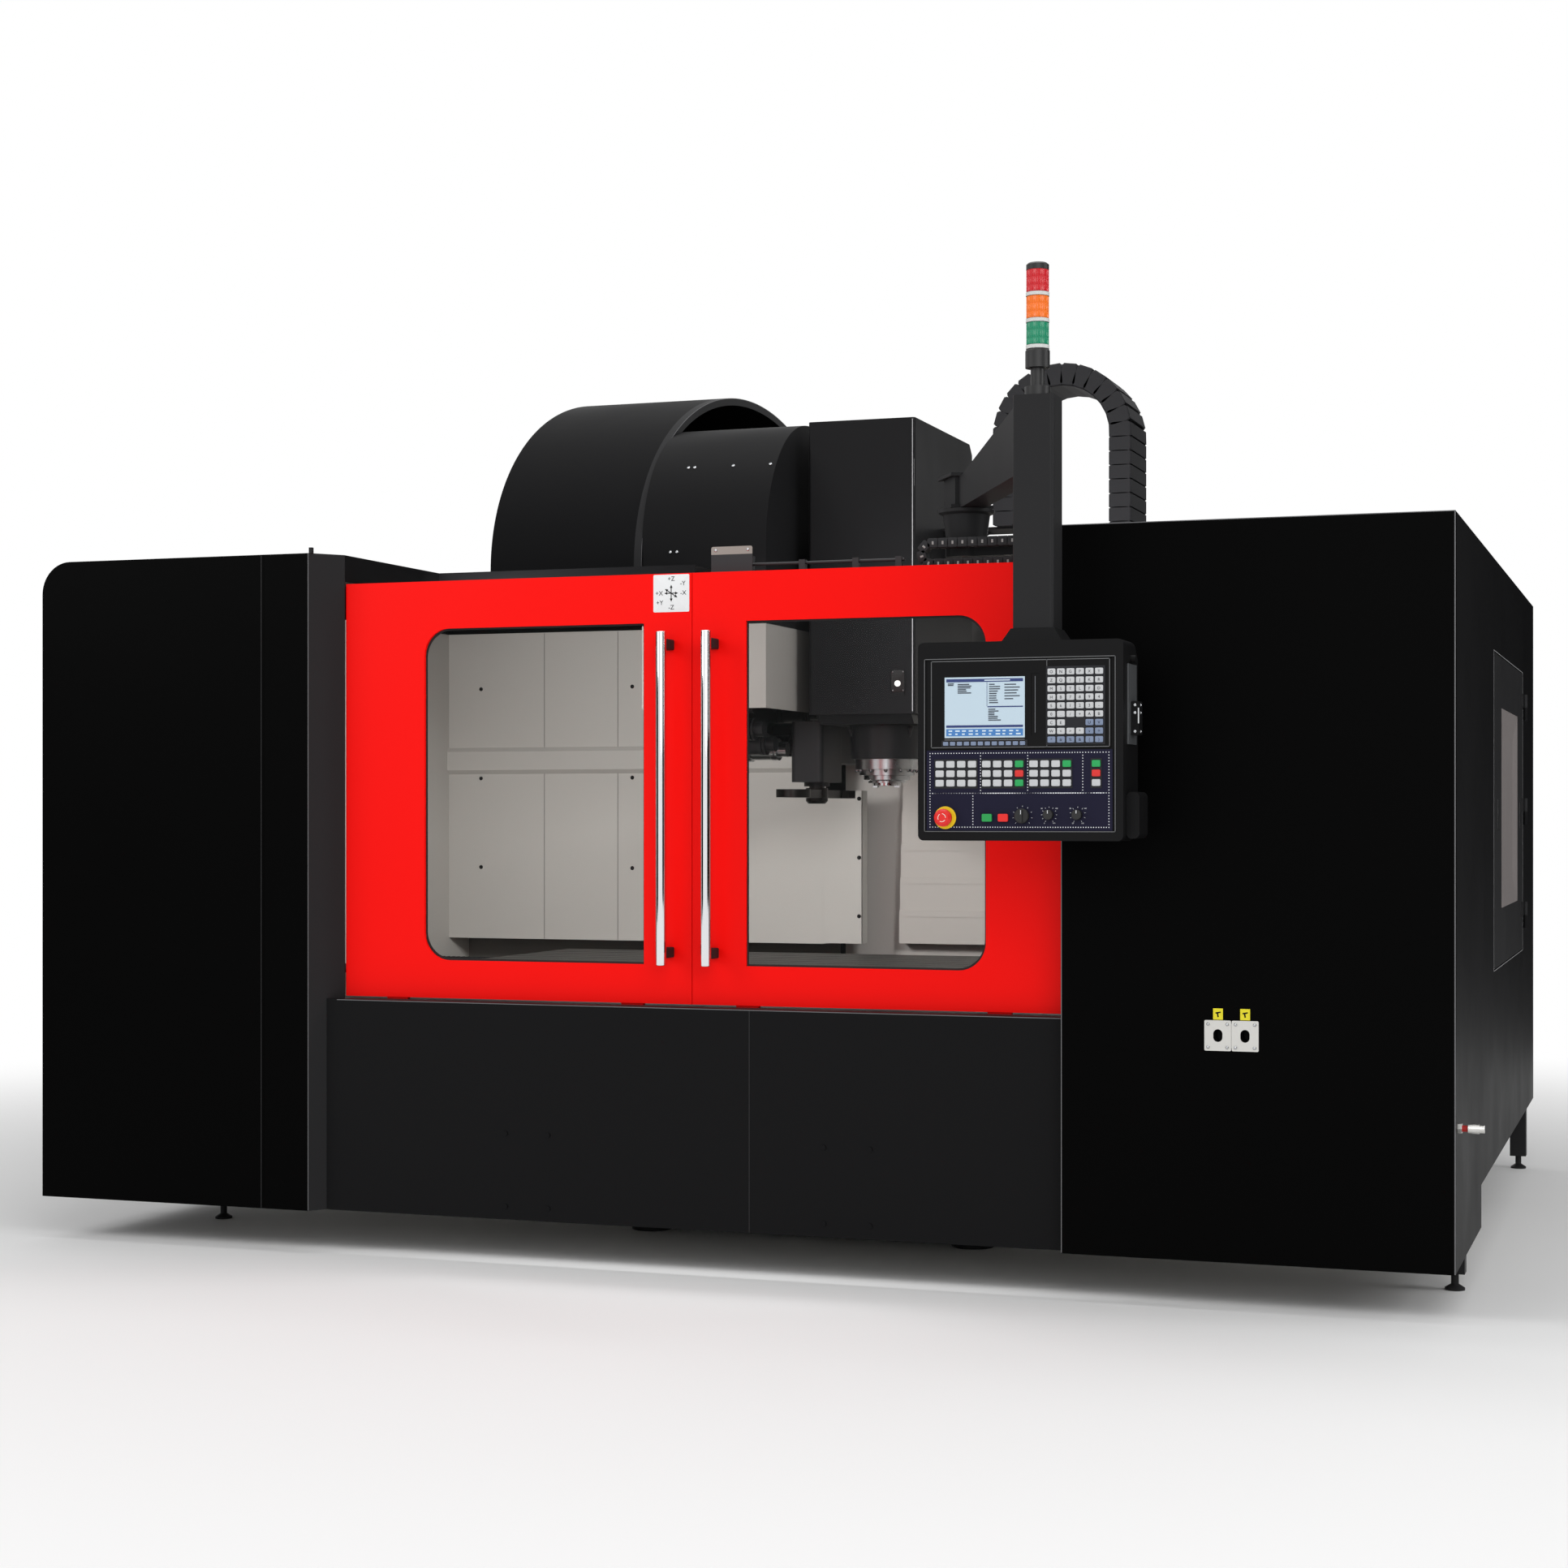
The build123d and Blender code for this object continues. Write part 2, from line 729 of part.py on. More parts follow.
def y_way_cover():
    """Stepped plates ahead of the saddle."""
    y1 = spindle_y - saddle_width / 2
    y0 = front_y + 560
    half = bed_width / 2 + 40
    plates = None
    count = 4
    pitch = (y1 - y0) / count
    for k in range(count):
        drop = 6.0 * (count - 1 - k)
        span = (y0 + k * pitch - (0 if k == 0 else 10), y0 + (k + 1) * pitch)
        top = saddle_top + 20 - drop
        wide = half - drop
        section = rect((-wide, wide), (bed_top + 60, top))
        section -= rect((8 - wide, wide - 8), (bed_top + 59, top - 8))
        plate = Pos(spindle_x, 0, 0) * along_y(section, span)
        plates = plate if plates is None else plates + plate
    return plates


def z_way_cover():
    """Stepped plates on the column's face, below the head."""
    top = head_bottom - 60
    low = table_top + 30
    count = 4
    pitch = (top - low) / count
    plates = None
    for k in range(count):
        step = 5.0 * k
        span = (low + k * pitch, low + (k + 1) * pitch + (0 if k == count - 1 else 10))
        half = cover_half_width - 4 - step
        front = column_y - rail_height - 50 + step
        section = rect((-half, half), (front, column_y))
        section -= rect((6 - half, half - 6), (front + 6, column_y + 1))
        plate = Pos(spindle_x, 0, 0) * along_z(section, span)
        plates = plate if plates is None else plates + plate
    return plates


def chain_strip(left, right, low_left, low_right, top, thick, width_y, pitch):
    """A cable chain over a half-circle bend, notched between its links."""
    radius = (right - left) / 2
    centre = left + radius, top - radius
    inner = radius - thick
    ring = disc(*centre, radius) - disc(*centre, inner)
    ring -= rect((left - 1, right + 1), (top - 3 * radius, centre[1]))
    ring += rect((left, left + thick), (low_left, centre[1]))
    ring += rect((right - thick, right), (low_right, centre[1]))
    steps = round(math.pi * (radius - thick / 2) / pitch)
    notch = thick * 0.09
    for k in range(1, steps):
        angle = 180.0 * k / steps
        cut = Rectangle(notch, 5)
        for r in (radius, inner):
            ring -= Pos(*centre) * Rot(0, 0, angle) * Pos(r, 0) * Rot(0, 0, 90) * cut
    for x0, low in ((left, low_left), (right - thick, low_right)):
        z = centre[1]
        while z > low + 4:
            ring -= rect((x0 - 1, x0 + 2.5), (z - notch / 2, z + notch / 2))
            ring -= rect((x0 + thick - 2.5, x0 + thick + 1), (z - notch / 2, z + notch / 2))
            z -= pitch
    return along_y(ring, width_y)


def z_cable_chain():
    """The head's cable chain, looped over beside the column."""
    left = spindle_x + chain_left_offset
    y = (spindle_y, spindle_y + chain_width)
    right = left + 2 * chain_radius
    return chain_strip(left, right, chain_head_end, enclosure_top, chain_top, chain_band, y, chain_link)


def door_cable_chain():
    """The right door's small cable chain, laid along the beam."""
    x0, x1 = mid_x + door_chain_offset, opening_right + 300
    thick, height = door_chain_band, door_chain_height
    z0 = beam_top + 0.3
    mid_z, r = z0 + height / 2, height / 2
    at = x0 + r
    ring = disc(at, mid_z, r) - disc(at, mid_z, r - thick)
    ring -= rect((at, at + r + 1), (mid_z - r - 1, mid_z + r + 1))
    ring += rect((at, opening_right - 60), (z0 + height - thick, z0 + height))
    ring += rect((at, x1), (z0, z0 + thick))
    x = at + door_chain_link
    while x < x1 - 5:
        for z in (z0, z0 + thick, z0 + height - thick, z0 + height):
            ring -= rect((x - 2, x + 2), (z - 2.5, z + 2.5))
        x += door_chain_link
    y = door_back_y + beam_gap + 20
    return along_y(ring, (y, y + door_chain_width))


# Doors


def door_parts(side):
    """One sliding door: its panel, its pane and its handle. side is -1 left, 1 right."""
    edge = opening_left + 2 if side < 0 else opening_right - 20
    x = sorted((seam_x + side * door_gap / 2, edge))
    win = sorted((mid_x + side * window_inner, mid_x + side * window_outer))
    panel = along_y(rect(x, (door_bottom, door_top)), (door_front_y, door_back_y))

    def window(grow):
        w, h = win[1] - win[0] + 2 * grow, window_top - window_bottom + 2 * grow
        face = Pos((win[0] + win[1]) / 2, (window_top + window_bottom) / 2) * Rectangle(w, h)
        outer = face.vertices().group_by(Axis.X)[-1 if side > 0 else 0]
        return fillet(outer, window_radius + grow)

    for share in (0.12, 0.8):
        hx = x[0] + share * (x[1] - x[0])
        hanger = (door_back_y, door_back_y + beam_gap - running_gap / 8)
        panel += block((hx, hx + 120), hanger, (beam_bottom + 15, beam_top - 15))
        shoe_y = (door_front_y + 12, door_back_y - 12)
        panel += block((hx, hx + 90), shoe_y, (apron_top + running_gap / 8, door_bottom))
    panel -= along_y(window(0), (door_front_y - 1, door_back_y + 1))
    glass_y = door_front_y + glass_recess
    panel -= along_y(window(glass_lap), (glass_y, door_back_y + 1))
    pane = along_y(window(glass_lap - glass_clearance), (glass_y, glass_y + glass_thickness))

    at = seam_x + side * handle_offset
    tube_y = door_front_y - handle_standoff
    tube = along_z(disc(at, tube_y, handle_diameter / 2), (handle_bottom, handle_top))
    grip = fillet(tube.edges().filter_by(GeomType.CIRCLE), 3)
    for z in (handle_bottom + handle_bracket_inset, handle_top - handle_bracket_inset):
        foot = block((at - 15, at + 15), (tube_y, door_front_y), (z - 15, z + 15))
        grip += fillet(foot.edges().filter_by(Axis.Y), 6)
        grip += along_y(disc(at, z, 26), (door_front_y - 8, door_front_y))
    return panel, pane, grip


def door_beam():
    """The fixed beam behind the doors' top edge, the track below them, and the door switch."""
    y = (door_back_y + beam_gap, door_back_y + beam_gap + beam_depth)
    x = (left_x + 2 * skin, right_x - skin)
    section = rect(y, (beam_bottom, beam_top)) - rect((y[0] + 5, y[1] - 5), (beam_bottom - 1, beam_top - 5))
    beam = along_x(section, x)
    back = door_back_y + 60
    level = (apron_top - 6, apron_top)
    track = block(x, (front_y + return_depth + 2, back), level)
    track += block((opening_left, opening_right), (apron_y + fold, front_y + return_depth + 2), level)
    track += block(x, (back - 5, back), (apron_top - 90, apron_top))
    return [beam + door_interlock(), track]


def door_interlock():
    """The door switch on the beam, its cover plate and its cable to the chain."""
    y0 = door_back_y + beam_gap
    x0 = mid_x + 48
    x1 = x0 + 145
    body = block((x0, x1), (y0, y0 + 86), (beam_top, beam_top + 74))
    body = fillet(body.edges().filter_by(Axis.Z), 6)
    plate = block((x0, x1 + 20), (y0 - 4, y0), (beam_top + 4, beam_top + 106))
    whole = body + fillet(plate.edges().filter_by(Axis.Y), 8)
    cable_z, cable_y = beam_top + 38, y0 + 30
    whole += along_x(disc(cable_y, cable_z, 6), (x1, mid_x + 800))
    for x in (x1 + 210, x1 + 420, mid_x + 780):
        whole += block((x - 12, x + 12), (cable_y - 14, cable_y + 14), (beam_top, cable_z + 12))
    return whole


# Enclosure panels


def front_panels_left():
    """The left wing's two front sheets, the outer one rolled at its top corner."""
    z = (front_bottom, enclosure_top)
    seam = opening_left - left_seam_inset
    main = pan((left_x, seam - 1), z, front_y, fold, rolled=rolled_edge_radius)
    return [main, pan((seam, opening_left - corner_slant_width), z, front_y, fold)]


def left_corner_post():
    """The folded corner between the left wing and the door opening."""
    w, d = corner_slant_width, return_depth
    profile = outline(
        (-w, 0), (0, d - 5), (0, d), (-60, d), (-60, d - 5), (-6, d - 5), (-w + 5, 12),
        (-w + 5, fold), (-w, fold),
    )
    post = Pos(opening_left, front_y, 0) * along_z(profile, (front_bottom, enclosure_top))
    lug_x = (opening_left - w, opening_left - w + 14)
    lug = block(lug_x, (front_y + 2, front_y + 16), (enclosure_top, enclosure_top + 22))
    return post + lug


def left_side_panel():
    """The left side, rolled over at its top edge."""
    r = rolled_edge_radius
    y = (front_y + fold, back_y)
    wall = rect((left_x, left_x + skin), (front_bottom, enclosure_top - r))
    corner = disc(left_x + r, enclosure_top - r, r) - disc(left_x + r, enclosure_top - r, r - skin)
    corner -= rect((left_x + r, left_x + 2 * r + 1), (enclosure_top - 3 * r, enclosure_top + 1))
    corner -= rect((left_x - 1, left_x + r + 1), (enclosure_top - 3 * r, enclosure_top - r))
    sheet = along_y(wall + corner, y)
    behind = (front_y + step_depth, back_y + 1)
    below = block((left_x - 1, left_x + skin + 1), behind, (front_bottom - 1, rear_bottom))
    return sheet - below


def roof_left():
    """The left and centre roof sheet, with the changer's cut-out and folded edges."""
    z = (enclosure_top - skin, enclosure_top)
    front = front_y + roof_setback
    plan = rect((left_x + rolled_edge_radius, opening_left), (front_y + fold, back_y))
    plan += rect((opening_left - 1, roof_right_x), (front, back_y))
    cut_y = (hood_front_y + cover_inset, back_y + 1)
    plan -= rect((hood_right_x - 40, roof_right_x + 1), cut_y)
    plan -= rect((opening_left - corner_slant_width, opening_left + 1), (front_y, front_y + return_depth))
    sheet = along_z(plan, z)
    drop = enclosure_top - roof_edge_fold
    sheet += block((opening_left - skin, roof_right_x), (front, front + skin), (drop, enclosure_top))
    header = enclosure_top - header_fold
    side = (front_y + return_depth + 2, front + skin)
    sheet += block((opening_left - skin, opening_left), side, (header, enclosure_top))
    return sheet


def magazine_hood():
    """An arched hood over the roof: closed at its left end, open to the changer's cover."""
    a = (back_y - hood_front_y) / 2
    centre = hood_front_y + a

    def arch(inset):
        face = Ellipse(a - inset, hood_rise - inset)
        face -= rect((-a - 1, a + 1), (-hood_rise - 1, 0))
        face += rect((inset - a, a - inset), (enclosure_top - hood_spring, 0.0))
        return Pos(centre, hood_spring) * face

    x = (hood_left_x, hood_right_x)
    shell = along_x(arch(0), x) - along_x(arch(skin), (x[0] + skin, x[1] + 1))
    rim = along_x(arch(0) - arch(hood_rim), (x[1] - skin, x[1]))
    return shell + rim


def changer_cover():
    """The cover over the changer: front, rolled top and right end, open elsewhere."""
    y0 = hood_front_y + cover_inset
    y1 = front_y + cover_back_setback
    x = (hood_right_x, mid_x + cover_right_offset)

    def side(inset):
        face = rect((y0 + inset, y1), (cover_bottom, cover_top - inset))
        corner = face.vertices().group_by(Axis.Y)[-1].group_by(Axis.X)[0]
        return fillet(corner, cover_radius - inset)

    shell = along_x(side(0), x)
    hollow = along_x(side(skin), (x[0] - 1, x[1] - skin))
    hollow += block((x[0] - 1, x[1] - skin), (y0 + skin, y1 + 1), (cover_bottom - 1, cover_bottom + 2))
    hollow += block((x[0] - 1, x[1] - skin), (y1 - 1, y1 + 1), (cover_bottom - 1, cover_top - skin))
    return shell - hollow


def right_front_panel():
    """The right wing's front, with its return beside the door and the gun sockets' hole."""
    z = (front_bottom, enclosure_top)
    sheet = pan((opening_right, right_x), z, front_y, fold)
    inner = (z[0], z[1] - skin)
    sheet += block((opening_right, opening_right + skin), (front_y + skin, front_y + return_depth), inner)
    sx, sz = socket_place()
    return sheet - along_y(rect((sx - 84, sx + 84), (sz - 44, sz + 44)), (front_y - 1, front_y + skin + 1))


def socket_place():
    return opening_right + socket_offset, socket_height


def gun_sockets():
    """Twin holders for the wash and air guns, on one back box."""
    sx, sz = socket_place()
    box = block((sx - 82, sx + 82), (front_y, front_y + 90), (sz - 42, sz + 42))
    for s in (-1, 1):
        plate = block(sorted((sx + s * 1, sx + s * 94)), (front_y - 4, front_y), (sz - 53, sz + 53))
        box += fillet(plate.edges().filter_by(Axis.Y), 5)
    for s in (-1, 1):
        hole = Pos(sx + s * 47, sz) * SlotOverall(44, 32, rotation=90)
        box -= along_y(hole, (front_y - 5, front_y + 80))
        for dx, dz in ((-33, -40), (33, -40), (-33, 40), (33, 40)):
            box += along_y(disc(sx + s * 47 + dx, sz + dz, 6), (front_y - 7, front_y - 4))
    return box


def air_coupler():
    """A quick coupler for shop air, screwed through the right side panel."""
    y, z = front_y + coupler_setback, coupler_height
    x = right_x
    parts = along_x(RegularPolygon(19, 6), (x, x + 14))
    parts += along_x(Circle(11), (x + 14, x + 34)) + along_x(Circle(17), (x + 34, x + 70))
    parts += along_x(Circle(14), (x + 70, x + coupler_reach))
    parts += along_x(Circle(10), (x - 40, x))
    parts -= along_x(Circle(6.5), (x + 20, x + coupler_reach + 1))
    return Pos(0, y, z) * parts


def side_door_edges(gap):
    y = (front_y + side_door_front + gap, front_y + side_door_front + side_door_length - gap)
    return rect(y, (side_door_bottom + gap, side_door_top - gap))


def side_door_hinges():
    """The three hinges at the side door's rear edge, as (fixed, moving) halves."""
    y = front_y + side_door_front + side_door_length + hinge_set_off
    return [hinge(right_x + hinge_set_off, y, z) for z in side_hinge_heights()]


def side_hinge_heights():
    middle = (side_door_bottom + side_door_top) / 2
    return middle - side_hinge_spacing, middle, middle + side_hinge_spacing


def right_side_panel():
    """The right side, stepped at the bottom, with a lipped opening for its door."""
    x = (right_x - skin, right_x)
    face = outline(
        (front_y + fold, front_bottom), (front_y + step_depth, front_bottom),
        (front_y + step_depth, rear_bottom), (back_y, rear_bottom), (back_y, enclosure_top - skin),
        (front_y + fold, enclosure_top - skin),
    )
    sheet = along_x(face - side_door_edges(0), x)
    lip = (x[1] - side_door_depth - skin, x[1] - side_door_depth - shoe_gap)
    sheet += along_x(side_door_edges(-skin) - side_door_edges(22), lip)
    sheet += along_x(side_door_edges(-skin) - side_door_edges(0), (lip[0], x[0]))
    hinge_y = front_y + side_door_front + side_door_length + hinge_set_off
    for (fixed, _), z in zip(side_door_hinges(), side_hinge_heights()):
        low = (z - hinge_length / 2, z - 1)
        sheet += fixed + block((right_x, right_x + strap_thickness), (hinge_y, hinge_y + strap_length), low)
    return sheet - along_x(disc(front_y + coupler_setback, coupler_height, 10), (x[0] - 1, x[1] + 1))


def side_door():
    """The service door in the right side, with its sunk window panel and two pulls."""
    x = (right_x - side_door_depth, right_x - 1)
    leaf = along_x(side_door_edges(side_door_gap), x)
    y0 = front_y + side_door_front
    window_y = (y0 + side_window_inset, y0 + side_window_inset + side_window_length)
    slope = side_window_slope
    mouth = rect(window_y, (side_window_bottom, side_window_top))
    inner = rect(
        (window_y[0] + slope, window_y[1] - slope), (side_window_bottom + slope, side_window_top - slope)
    )
    face = Plane(origin=(x[1], 0, 0), x_dir=(0, 1, 0), z_dir=(1, 0, 0)) * mouth
    floor = Plane(origin=(x[1] - side_window_depth, 0, 0), x_dir=(0, 1, 0), z_dir=(1, 0, 0)) * inner
    leaf -= loft([floor, face])
    pull_z = (pull_height - pull_length / 2, pull_height + pull_length / 2)
    for y in (y0 + 250, y0 + side_door_length - 170):
        leaf -= along_x(rect((y - 22, y + 22), pull_z), (x[1] - 13, x[1] + 1))
        leaf += along_x(rect((y - 5, y + 5), (pull_z[0] + 2, pull_z[1] - 2)), (x[1] - 14, x[1] - 2))
    edge_y = y0 + side_door_length
    hinge_x, hinge_y = right_x + hinge_set_off, edge_y + hinge_set_off
    outer = right_x + strap_thickness
    for (_, moving), low in zip(side_door_hinges(), side_hinge_heights()):
        z = (low, low + hinge_length / 2 + 1)
        strap = block((x[1], outer), (edge_y - strap_length, edge_y - side_door_gap), z)
        strap += block((right_x + shoe_gap, outer), (edge_y - side_door_gap, hinge_y), z)
        leaf += moving + (strap - along_z(disc(hinge_x, hinge_y, hinge_barrel_radius - 1), z))
    return leaf


def roof_right():
    """The right roof sheet, folded down at its inner edge, with a shelf for the cable chain."""
    y = (front_y + fold, back_y)
    level = (enclosure_top - skin, enclosure_top)
    sheet = block((opening_right, right_x), y, level)
    sheet += block((opening_right, opening_right + skin), (front_y + wall_front_setback, y[1] - fold),
                   (enclosure_top - header_fold, enclosure_top))
    shelf_x = spindle_x + chain_left_offset + 2 * chain_radius - chain_band - 6
    return sheet + block((shelf_x, opening_right), (spindle_y - 10, spindle_y + chain_width + 10), level)


def front_apron():
    """The apron below the doors: one folded sheet, with its ledge and its bolts."""
    x = (opening_left - corner_slant_width, opening_right)
    sheet = pan(x, (front_bottom, apron_top), apron_y, fold)
    w, d = corner_slant_width, return_depth - 5
    beside = outline((-w - 1, -1), (-w, 0), (0, d), (0, d + 60), (-w - 1, d + 60))
    beside = Pos(opening_left, front_y, 0) * beside
    sheet -= along_z(beside, (front_bottom - 1, apron_top + 1))
    for bx, bz in apron_bolts():
        sheet += along_y(disc(bx, bz, 9), (apron_y - 5, apron_y))
    return sheet


def apron_bolts():
    """The four bolts of each lifting bracket behind the apron, as (x, z) places."""
    places = []
    for offset in bracket_offsets:
        x = mid_x + offset
        for z in bracket_heights:
            places += [(x, z), (x + bracket_bolt_pitch, z)]
    return places


def inner_walls_x():
    """The inner faces of the working space's side walls."""
    return left_x + left_wall_inset, right_x - right_wall_inset


def splash_guards():
    """The working space's walls: two sides, and a back on each side of the column.

    Each back is an upper wall with a stiffening fold, a ledge under which the table passes, and a
    lower wall further to the rear.
    """
    left, right = inner_walls_x()
    y = (front_y + wall_front_setback, spindle_y + wall_back)
    low_y = spindle_y + low_wall_back
    side = outline(
        (y[0], tray_height), (low_y, tray_height), (low_y, ledge_height), (y[1], ledge_height),
        (y[1], wall_top), (y[0], wall_top),
    )
    walls = [along_x(side, (left - skin, left)), along_x(side, (right, right + skin))]
    shelf = ledge_height + skin
    fold_back, fold_slope = wall_fold_depth, wall_fold_depth * 0.8
    upper = outline(
        (y[1], shelf), (y[1], wall_top), (y[1] - skin, wall_top), (y[1] - skin, wall_fold_top),
        (y[1] - fold_back, wall_fold_top - fold_slope), (y[1] - fold_back, wall_fold_bottom + fold_slope),
        (y[1] - skin, wall_fold_bottom), (y[1] - skin, shelf),
    )
    ledge = rect((y[1] - skin, low_y), (ledge_height, shelf))
    lower = rect((low_y - skin, low_y), (bed_top + 10, ledge_height))
    column_left, column_right = spindle_x - column_width / 2 - 20, spindle_x + column_width / 2 + 20
    changer = block((hood_right_x - 20, spindle_x), (y[1] - 60, y[1] + 1), (changer_mouth, wall_top + 1))
    flange = block(
        (spindle_x + cover_half_width + 40, column_right), (y[1] - skin, y[1]), (ledge_height, wall_top)
    )
    walls += [along_x(upper, (left, column_left)) - changer, along_x(upper, (column_right, right)) + flange]
    for span in ((left, column_left), (column_right, right)):
        walls += [along_x(ledge, span), along_x(lower, span)]
    return walls


def chip_pan():
    """Trays round the bed that carry chips and coolant to the front trough."""
    z = (tray_height, tray_height + skin)
    x0, x1 = inner_walls_x()
    y0, y1 = front_y + wall_front_setback, spindle_y + low_wall_back - skin
    bed = (spindle_x - bed_width / 2, spindle_x + bed_width / 2)
    front = front_y + bed_front_setback
    rim = (tray_height, bed_top)
    trays = [
        block((x0, bed[0]), (front, y1), z) + block((bed[0] - skin, bed[0]), (front, y1), rim)
        + block((x0, bed[0]), (y1 - skin, y1), rim),
        block((bed[1], x1), (front, y1), z) + block((bed[1], bed[1] + skin), (front, y1), rim)
        + block((bed[1], x1), (y1 - skin, y1), rim),
    ]
    low = tray_height - 150
    trough = outline(
        (y0, 700), (y0 + skin, 700), (y0 + skin, low + 20), (y0 + 300, low), (front - skin, low),
        (front - skin, tray_height), (front, tray_height), (front, low - skin), (y0 + 300, low - skin),
        (y0, low + 20 - skin),
    )
    return trays + [along_x(trough, (x0, x1))]


def rear_panel():
    """The back of the enclosure, cut out round the cabinet's door."""
    z = (rear_bottom, enclosure_top - skin)
    corner = rolled_edge_radius - skin
    sheet = pan((left_x + skin, right_x - skin), z, back_y, fold, inward=-1, rolled=corner)
    sheet -= along_y(cabinet_edges(0), (back_y - fold - 1, back_y + 1))
    hinge_x = cabinet_right + hinge_set_off
    for (fixed, _), z in zip(cabinet_hinges(), cabinet_hinge_heights()):
        low = (z - hinge_length / 2, z - 1)
        sheet += fixed + block((hinge_x, hinge_x + strap_length), (back_y, back_y + strap_thickness), low)
    return sheet


def cabinet_edges(gap):
    x = (cabinet_left + gap, cabinet_right - gap)
    return rect(x, (cabinet_bottom + gap, cabinet_bottom + cabinet_height - gap))


def cabinet_hinges():
    """The three hinges at the cabinet door's right edge, as (fixed, moving) halves."""
    x = cabinet_right + hinge_set_off
    return [hinge(x, back_y + hinge_set_off, z) for z in cabinet_hinge_heights()]


def cabinet_hinge_heights():
    middle = cabinet_bottom + cabinet_height / 2
    return middle - cabinet_hinge_spacing, middle, middle + cabinet_hinge_spacing


def electrical_cabinet():
    """The control cabinet behind its door: a box with drives on its back plate."""
    y = (back_y - fold - cabinet_depth, back_y - skin)
    shell = along_y(cabinet_edges(-12), y)
    shell -= along_y(cabinet_edges(-12 + cabinet_wall), (y[0] + cabinet_wall, y[1] + 1))
    x0 = cabinet_left
    for row, z in enumerate((cabinet_bottom + 320, cabinet_bottom + 980, cabinet_bottom + 1560)):
        for k in range(5 - row):
            x = x0 + 140 + 290 * k
            drive = block((x, x + 230), (y[0] + cabinet_wall, y[0] + 210 - 40 * row), (z, z + 420))
            shell += drive
    return shell


def cabinet_door():
    leaf = along_y(cabinet_edges(running_gap), (back_y - 30, back_y))
    x = cabinet_left
    z = cabinet_bottom + cabinet_height / 2
    leaf -= along_y(rect((x + 50, x + 90), (z - 90, z + 90)), (back_y - 18, back_y + 1))
    leaf += along_y(rect((x + 64, x + 76), (z - 84, z + 84)), (back_y - 18, back_y - 4))
    hinge_x, hinge_y = cabinet_right + hinge_set_off, back_y + hinge_set_off
    outer = back_y + strap_thickness
    leaf_edge = cabinet_right - running_gap
    for (_, moving), base in zip(cabinet_hinges(), cabinet_hinge_heights()):
        low = (base, base + hinge_length / 2 + 1)
        strap = block((cabinet_right - strap_length, leaf_edge), (back_y, outer), low)
        strap += block((leaf_edge, hinge_x), (back_y + shoe_gap, outer), low)
        leaf += moving + (strap - along_z(disc(hinge_x, hinge_y, hinge_barrel_radius - 1), low))
    return leaf


def support_feet():
    """Levelling feet under the bed, and square legs on feet under the enclosure."""
    feet = []
    bed_front = front_y + bed_front_setback
    profile = [(0, 0), (85, 0), (85, 26), (30, 44), (30, bed_bottom), (0, bed_bottom)]
    for x in (spindle_x - bed_width / 2 + 110, spindle_x + bed_width / 2 - 110):
        for y in (bed_front + 120, spindle_y, column_y - 120, column_y + column_depth - 100):
            feet.append(turned(x, y, *profile))
    half = leg_size / 2
    for y, low in ((front_y + 700, front_bottom), (back_y - 140, rear_bottom)):
        rail_z = (low + 12, low + 12 + frame_tube)
        frame = block((left_x + skin, right_x - skin), (y - frame_tube / 2, y + frame_tube / 2), rail_z)
        for x in (left_x + 420, right_x - 62):
            frame += along_z(rect((x - half, x + half), (y - half, y + half)), (62, rail_z[1]))
            frame += turned(x, y, (0, 0), (36, 0), (36, 8), (14, 22), (14, 62), (0, 62))
        feet.append(frame)
    return feet


# Pendant


def pendant_x():
    left = mid_x + pendant_left
    return left, left + pendant_width


def pendant_y():
    front = front_y - pendant_reach
    return front, front + pendant_depth


def post_place():
    x, y = pendant_x(), pendant_y()
    return (x[0] + x[1]) / 2 + post_offset, (y[0] + y[1]) / 2


def boom_bracket():
    """The arm on the right wing that carries the boom's pivot."""
    px = mid_x + pivot_x
    y0 = door_back_y + beam_gap + beam_depth + 12
    plan = outline(
        (opening_right, y0), (opening_right, y0 + 420), (px + 60, pivot_y + 60), (px, pivot_y + 60),
        (px - 60, pivot_y + 60), (px - 60, y0),
    )
    plan += disc(px, pivot_y, 78)
    z = (arm_plate_top - 40, arm_plate_top)
    arm = along_z(plan, z)
    seat_z = (enclosure_top - header_fold, enclosure_top)
    arm += block((opening_right - 12, opening_right), (y0, y0 + 420), seat_z)
    cup = turned(
        px, pivot_y, (0, z[1]), (72, z[1]), (88, pivot_bottom - 20), (105, pivot_bottom - 12),
        (105, pivot_bottom), (0, pivot_bottom),
    )
    pin = along_z(disc(px, pivot_y, pivot_pin_radius), (pivot_bottom, pivot_pin_top))
    return arm + cup + pin


